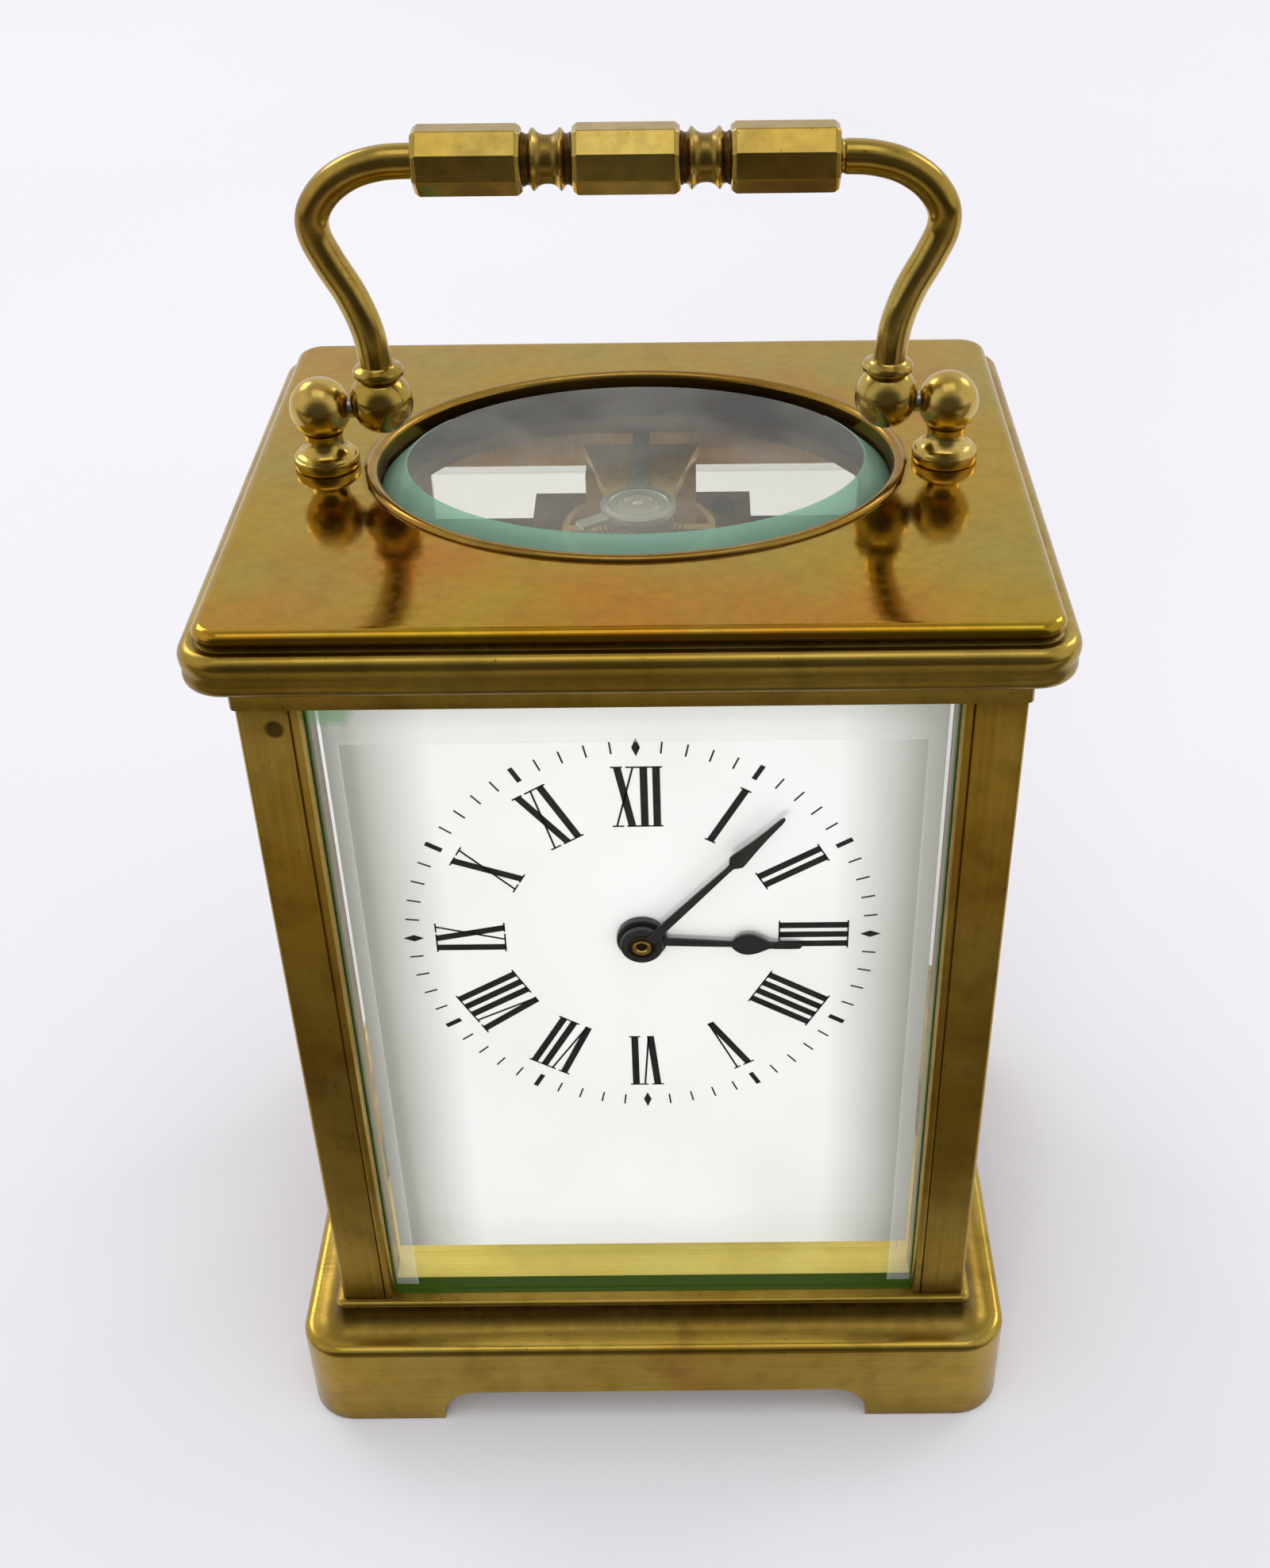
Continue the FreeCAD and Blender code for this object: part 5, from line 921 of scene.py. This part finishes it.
def hands():
    """Hour hand with a round leaf, minute hand with a long spear, each on its collet."""
    hour_low, hour_high = extent("hour_hand")
    minute_low, minute_high = extent("minute_hand")
    hour = [(0.5, 1.2), (0.47, 3.0), (0.42, 6.0), (0.36, 8.6), (0.34, 9.2)]
    hour += [(max(u, 0.4), v) for u, v in leaf(9.0, 13.7, 1.32, 14, 0.75)]
    hour += [(0.42, 13.8), (0.38, 15.0), (0.3, 16.2), (0.001, 16.45)]
    blade = sheet(hand_outline(hour), HOUR_ANGLE, hour_low.y - 0.2, hour_low.y + 0.1)
    ring = ring_stack([
        (0, -0.4), (2.5, -0.4), (2.6, -0.25), (2.6, 0.4), (2.46, 0.5), (1.5, 0.52), (0, 0.52),
    ], hour_high.y)
    soften(link(joined(blade, ring), "hour_hand_blade", [HAND_BLACK], "hour", "hour_hand"), 0.06, 2, 40)
    minute = [(0.54, 1.2), (0.5, 3.0), (0.42, 8.0), (0.3, 13.2), (0.34, 13.8), (0.62, 14.1), (0.88, 14.5)]
    minute += [(0.86, 14.9), (0.7, 16.0), (0.5, 17.6), (0.34, 19.4), (0.26, 21.0), (0.16, 21.5)]
    minute.append((0.001, 21.6))
    blade = sheet(hand_outline(minute), MINUTE_ANGLE, minute_low.y - 0.6, minute_low.y - 0.3)
    ring = ring_stack([
        (0, 0.02), (2.1, 0.02), (2.2, 0.12), (2.2, 0.68), (2.06, 0.8), (1.45, 0.84), (1.4, 0.68), (0, 0.68),
    ], minute_high.y)
    soften(link(joined(blade, ring), "minute_hand_blade", [HAND_BLACK], "centre", "minute_hand"), 0.06, 2, 40)
    nut = ring_stack([
        (0, 0.4), (1.3, 0.4), (1.34, 0.8), (1.24, 0.9), (1.12, 0.84), (1.1, 0.8), (0.6, 0.8), (0, 0.8),
    ], minute_high.y)
    link(nut, "hand_collet", COLLET_BRONZE, "centre")
    end = ring_stack([
        (0.45, 0.7), (0.98, 0.7), (0.96, 0.92), (0.86, 0.98), (0.66, 0.98), (0.56, 0.9), (0.45, 0.7),
    ], minute_high.y)
    link(end, "collet_rim", TURNED_BRASS, "centre")


# ---- movement details

def regulator_details():
    """Raised ring and jewel on the regulator's disc."""
    high = extent("regulator_index")[1]
    centre = middle("balance_wheel")
    face = lathe([
        (0, -0.1), (3.55, -0.1), (3.55, 0.02), (3.4, 0.1), (3.1, 0.12), (2.95, 0.02), (2.3, 0.02),
        (2.2, 0.12), (1.6, 0.16), (1.5, 0.06), (0.95, 0.04), (0, 0.04),
    ], 72)
    link(moved(face, centre.x, centre.y, high.z), "regulator_face", GREY_STEEL, "regulator", sharp=25)
    jewel = lathe([(0, 0.0), (0.62, 0.0), (0.6, 0.14), (0.4, 0.26), (0.2, 0.3), (0, 0.31)], 40)
    link(moved(jewel, centre.x, centre.y, high.z + 0.02), "end_jewel", RUBY, CASE)


def knob():
    """Turned knob of the rear door."""
    low, high = extent("door_knob")
    x, z = (low.x + high.x) / 2, (low.z + high.z) / 2
    profile = [
        (0, 0), (1.9, 0), (1.9, 0.25), (1.2, 0.5), (0.95, 0.9), (0.95, 1.6), (1.3, 2.0), (1.9, 2.25),
        (2.15, 2.7), (2.2, 3.2), (2.0, 3.65), (1.4, 3.9), (0.6, 4.0), (0, 4.0),
    ]
    start = extent("door_frame")[1].y
    stem = lathe([(0, 0), (0.75, 0), (0.75, 3.2), (0, 3.2)], 40)
    mesh = joined(lathe(profile, 64), moved(stem, 0, 0, -3.1))
    mesh = moved(mesh, x, start, z, turn(-90, "X"))
    link(mesh, "door_knob_turning", TURNED_BRASS, DOOR, "door_knob", sharp=26)


# ---- the rest of the CAD in its own finish

FINISHES = {
    FLOOR_BRASS_PAINTED_GLOW: ("base_floor",),
    DOOR_BRASS: ("door_frame",),
    WORKS_BRASS: ("front_plate", "back_plate", "movement_columns", "dial_plate", "barrel_drum",
                  "barrel_cover"),
    WHEEL_BRASS: ("centre_wheel", "third_wheel", "contrate_wheel", "minute_wheel", "hour_wheel",
                  "escape_wheel", "ratchet_wheel"),
    GILT: ("platform_plate", "balance_cock", "balance_wheel", "escape_potence"),
    STEEL: ("barrel_arbor", "centre_arbor", "third_arbor", "contrate_arbor", "escape_pinion", "pallet_lever",
            "balance_staff", "handle_pivot_pins", "door_hinge_pins", "click"),
    GREY_STEEL: ("regulator_index",),
    SPRING_STEEL: ("mainspring", "hairspring"),
    BLUED_STEEL: ("plate_screws", "platform_screws", "click_screw"),
    SCREW_STEEL: ("pillar_screws", "seat_screws", "escape_bridge"),
    COLLET_BRONZE: ("cannon_pinion",),
    ENAMEL: ("dial",),
    FRONT_PANE: ("front_glass", "door_glass"),
    SIDE_PANE: ("left_glass", "right_glass"),
}
BEVELLED = {
    "door_frame": 0.3, "front_plate": 0.12, "back_plate": 0.12, "platform_plate": 0.15, "balance_cock": 0.18,
    "base_floor": 0.1, "movement_columns": 0.1, "dial": 0.15, "regulator_index": 0.08,
}


def dress_cad():
    """Gives every CAD node that stays its finish and, where it shows, softened arrises."""
    for finish, names in FINISHES.items():
        for name in names:
            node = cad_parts[name]
            node.data.materials.clear()
            node.data.materials.append(finish)
            if name in BEVELLED:
                soften(node, BEVELLED[name], 2, 35)


# ---- floor, light and camera

def surroundings():
    """Even white light for matt surfaces; polished ones mirror a bright back and a darker front and top."""
    world = bpy.data.worlds.new("surroundings")
    bpy.context.scene.world = world
    world.use_nodes = True
    tree = world.node_tree
    tree.nodes.clear()

    def add(kind, **settings):
        node = tree.nodes.new("ShaderNode" + kind)
        for key, setting in settings.items():
            setattr(node, key, setting)
        return node

    def step(source, low, high, to_low, to_high):
        node = add("MapRange", interpolation_type="SMOOTHSTEP")
        tree.links.new(source, node.inputs["Value"])
        for key, amount in zip(("From Min", "From Max", "To Min", "To Max"), (low, high, to_low, to_high)):
            node.inputs[key].default_value = amount
        return node.outputs["Result"]

    split = add("SeparateXYZ")
    tree.links.new(add("TexCoord").outputs["Generated"], split.inputs[0])
    product = add("Math", operation="MULTIPLY")
    tree.links.new(step(split.outputs["Y"], -0.85, -0.4, 0.1, 0.9), product.inputs[0])
    tree.links.new(step(split.outputs["Z"], 0.68, 0.92, 0.96, 0.6), product.inputs[1])
    path = add("LightPath")
    choice = add("Mix", data_type="FLOAT")
    tree.links.new(path.outputs["Is Glossy Ray"], choice.inputs[0])
    choice.inputs[2].default_value = 0.85
    tree.links.new(product.outputs[0], choice.inputs[3])
    sky = add("Background")
    sky.inputs["Color"].default_value = (0.985, 0.985, 1.0, 1.0)
    tree.links.new(choice.outputs[0], sky.inputs["Strength"])
    tree.links.new(sky.outputs[0], add("OutputWorld").inputs["Surface"])


def sweep_finish():
    """White paper; in reflections the room's darker tones take over in front of the clock."""
    made, add, finish = material("white_sweep")
    where = add("TexCoord").outputs["Object"]
    tint = ramp(add, cloud(add, where, 3, 3), 0.35, 0.7)
    white = blend(add, tint, linear(240, 239, 243), linear(236, 235, 240))
    paper = add("BsdfDiffuse", {"Color": white}).outputs[0]
    ahead = add("SeparateXYZ", {0: where}).outputs["Y"]
    colour = blend(add, ramp(add, ahead, -0.16, -0.09, 1.0, 0.0), linear(100, 93, 82), linear(174, 166, 150))
    colour = blend(add, ramp(add, ahead, -0.4, -0.25, 1.0, 0.0), colour, linear(70, 65, 58))
    room = add("BsdfDiffuse", {"Color": colour}).outputs[0]
    near = ramp(add, ahead, -0.062, -0.037, 1.0, 0.0)
    share = reckon(add, "MULTIPLY", near, add("LightPath").outputs["Is Glossy Ray"])
    finish(add("MixShader", {0: share, 1: paper, 2: room}).outputs[0])
    return made


def studio():
    """Large pale floor with a coved wall behind, two windows behind, a front light and a ceiling light."""
    scene = bpy.context.scene
    scene.view_settings.view_transform = "Standard"
    wide, back, bend = 4.0, 1.6, 0.7
    cove = arc(back, bend, bend, -90, 0, 24)
    paper = sweep_finish()
    for name, rows in (("floor", [(-3.0, 0.0), (back, 0.0)]), ("wall", cove + [(back + bend, 3.0)])):
        points = [(x, y, z) for y, z in rows for x in (-wide, wide)]
        faces = [(2 * k, 2 * k + 1, 2 * k + 3, 2 * k + 2) for k in range(len(rows) - 1)]
        mesh = bpy.data.meshes.new(name)
        mesh.from_pydata(points, [], faces)
        mesh.shade_smooth()
        mesh.materials.append(paper)
        piece = bpy.data.objects.new(name, mesh)
        scene.collection.objects.link(piece)
        piece.visible_glossy = name == "floor"
    surroundings()
    for name, place, size, power, colour in (
        ("window_left", (-0.75, 0.75, 0.85), (0.5, 0.4), 2.2, (1.0, 0.99, 0.97)),
        ("window_right", (0.8, 0.6, 0.75), (0.35, 0.4), 1.4, (1.0, 0.99, 0.97)),
        ("front", (-0.2, -1.0, 0.22), (0.3, 0.3), 3.4, (1.0, 1.0, 0.99)),
        ("ceiling", (0.0, -0.25, 1.3), (0.9, 0.6), 1.6, (1.0, 1.0, 1.0)),
    ):
        lamp = bpy.data.lights.new(name, "AREA")
        lamp.shape, lamp.size, lamp.size_y = "RECTANGLE", *size
        lamp.energy, lamp.color = power, colour
        holder = bpy.data.objects.new(name, lamp)
        holder.location = place
        holder.rotation_euler = (Vector((0, 0, 0.06)) - Vector(place)).to_track_quat("-Z", "Y").to_euler()
        holder.visible_glossy = name != "front"
        scene.collection.objects.link(holder)


def photo_camera():
    """Camera at the photo's place, as solved from the clock's edges."""
    yaw, pitch, roll = (math.radians(a) for a in (-0.1598, 37.2463, -0.6791))
    forward = Vector((math.sin(yaw) * math.cos(pitch), math.cos(yaw) * math.cos(pitch), -math.sin(pitch)))
    right = Vector((math.cos(yaw), -math.sin(yaw), 0))
    up = right.cross(forward)
    across = math.cos(roll) * right + math.sin(roll) * up
    upward = -math.sin(roll) * right + math.cos(roll) * up
    camera = bpy.data.cameras.new("camera")
    camera.sensor_width, camera.lens = 36.0, 43.777
    camera.shift_x, camera.shift_y = -0.0392, 0.0382
    camera.clip_start, camera.clip_end = 0.01, 20.0
    holder = bpy.data.objects.new("camera", camera)
    turned = Matrix((across, upward, -forward)).transposed().to_4x4()
    holder.matrix_world = Matrix.Translation((0.0061139, -0.1742015, 0.1920447)) @ turned
    bpy.context.scene.collection.objects.link(holder)
    bpy.context.scene.camera = holder


# ---- the whole clock

base_moulding()
top_frame()
oval_light()
pillars()
pane_edges()
posts()
handle()
dial_print()
hands()
regulator_details()
knob()
dress_cad()
studio()
photo_camera()
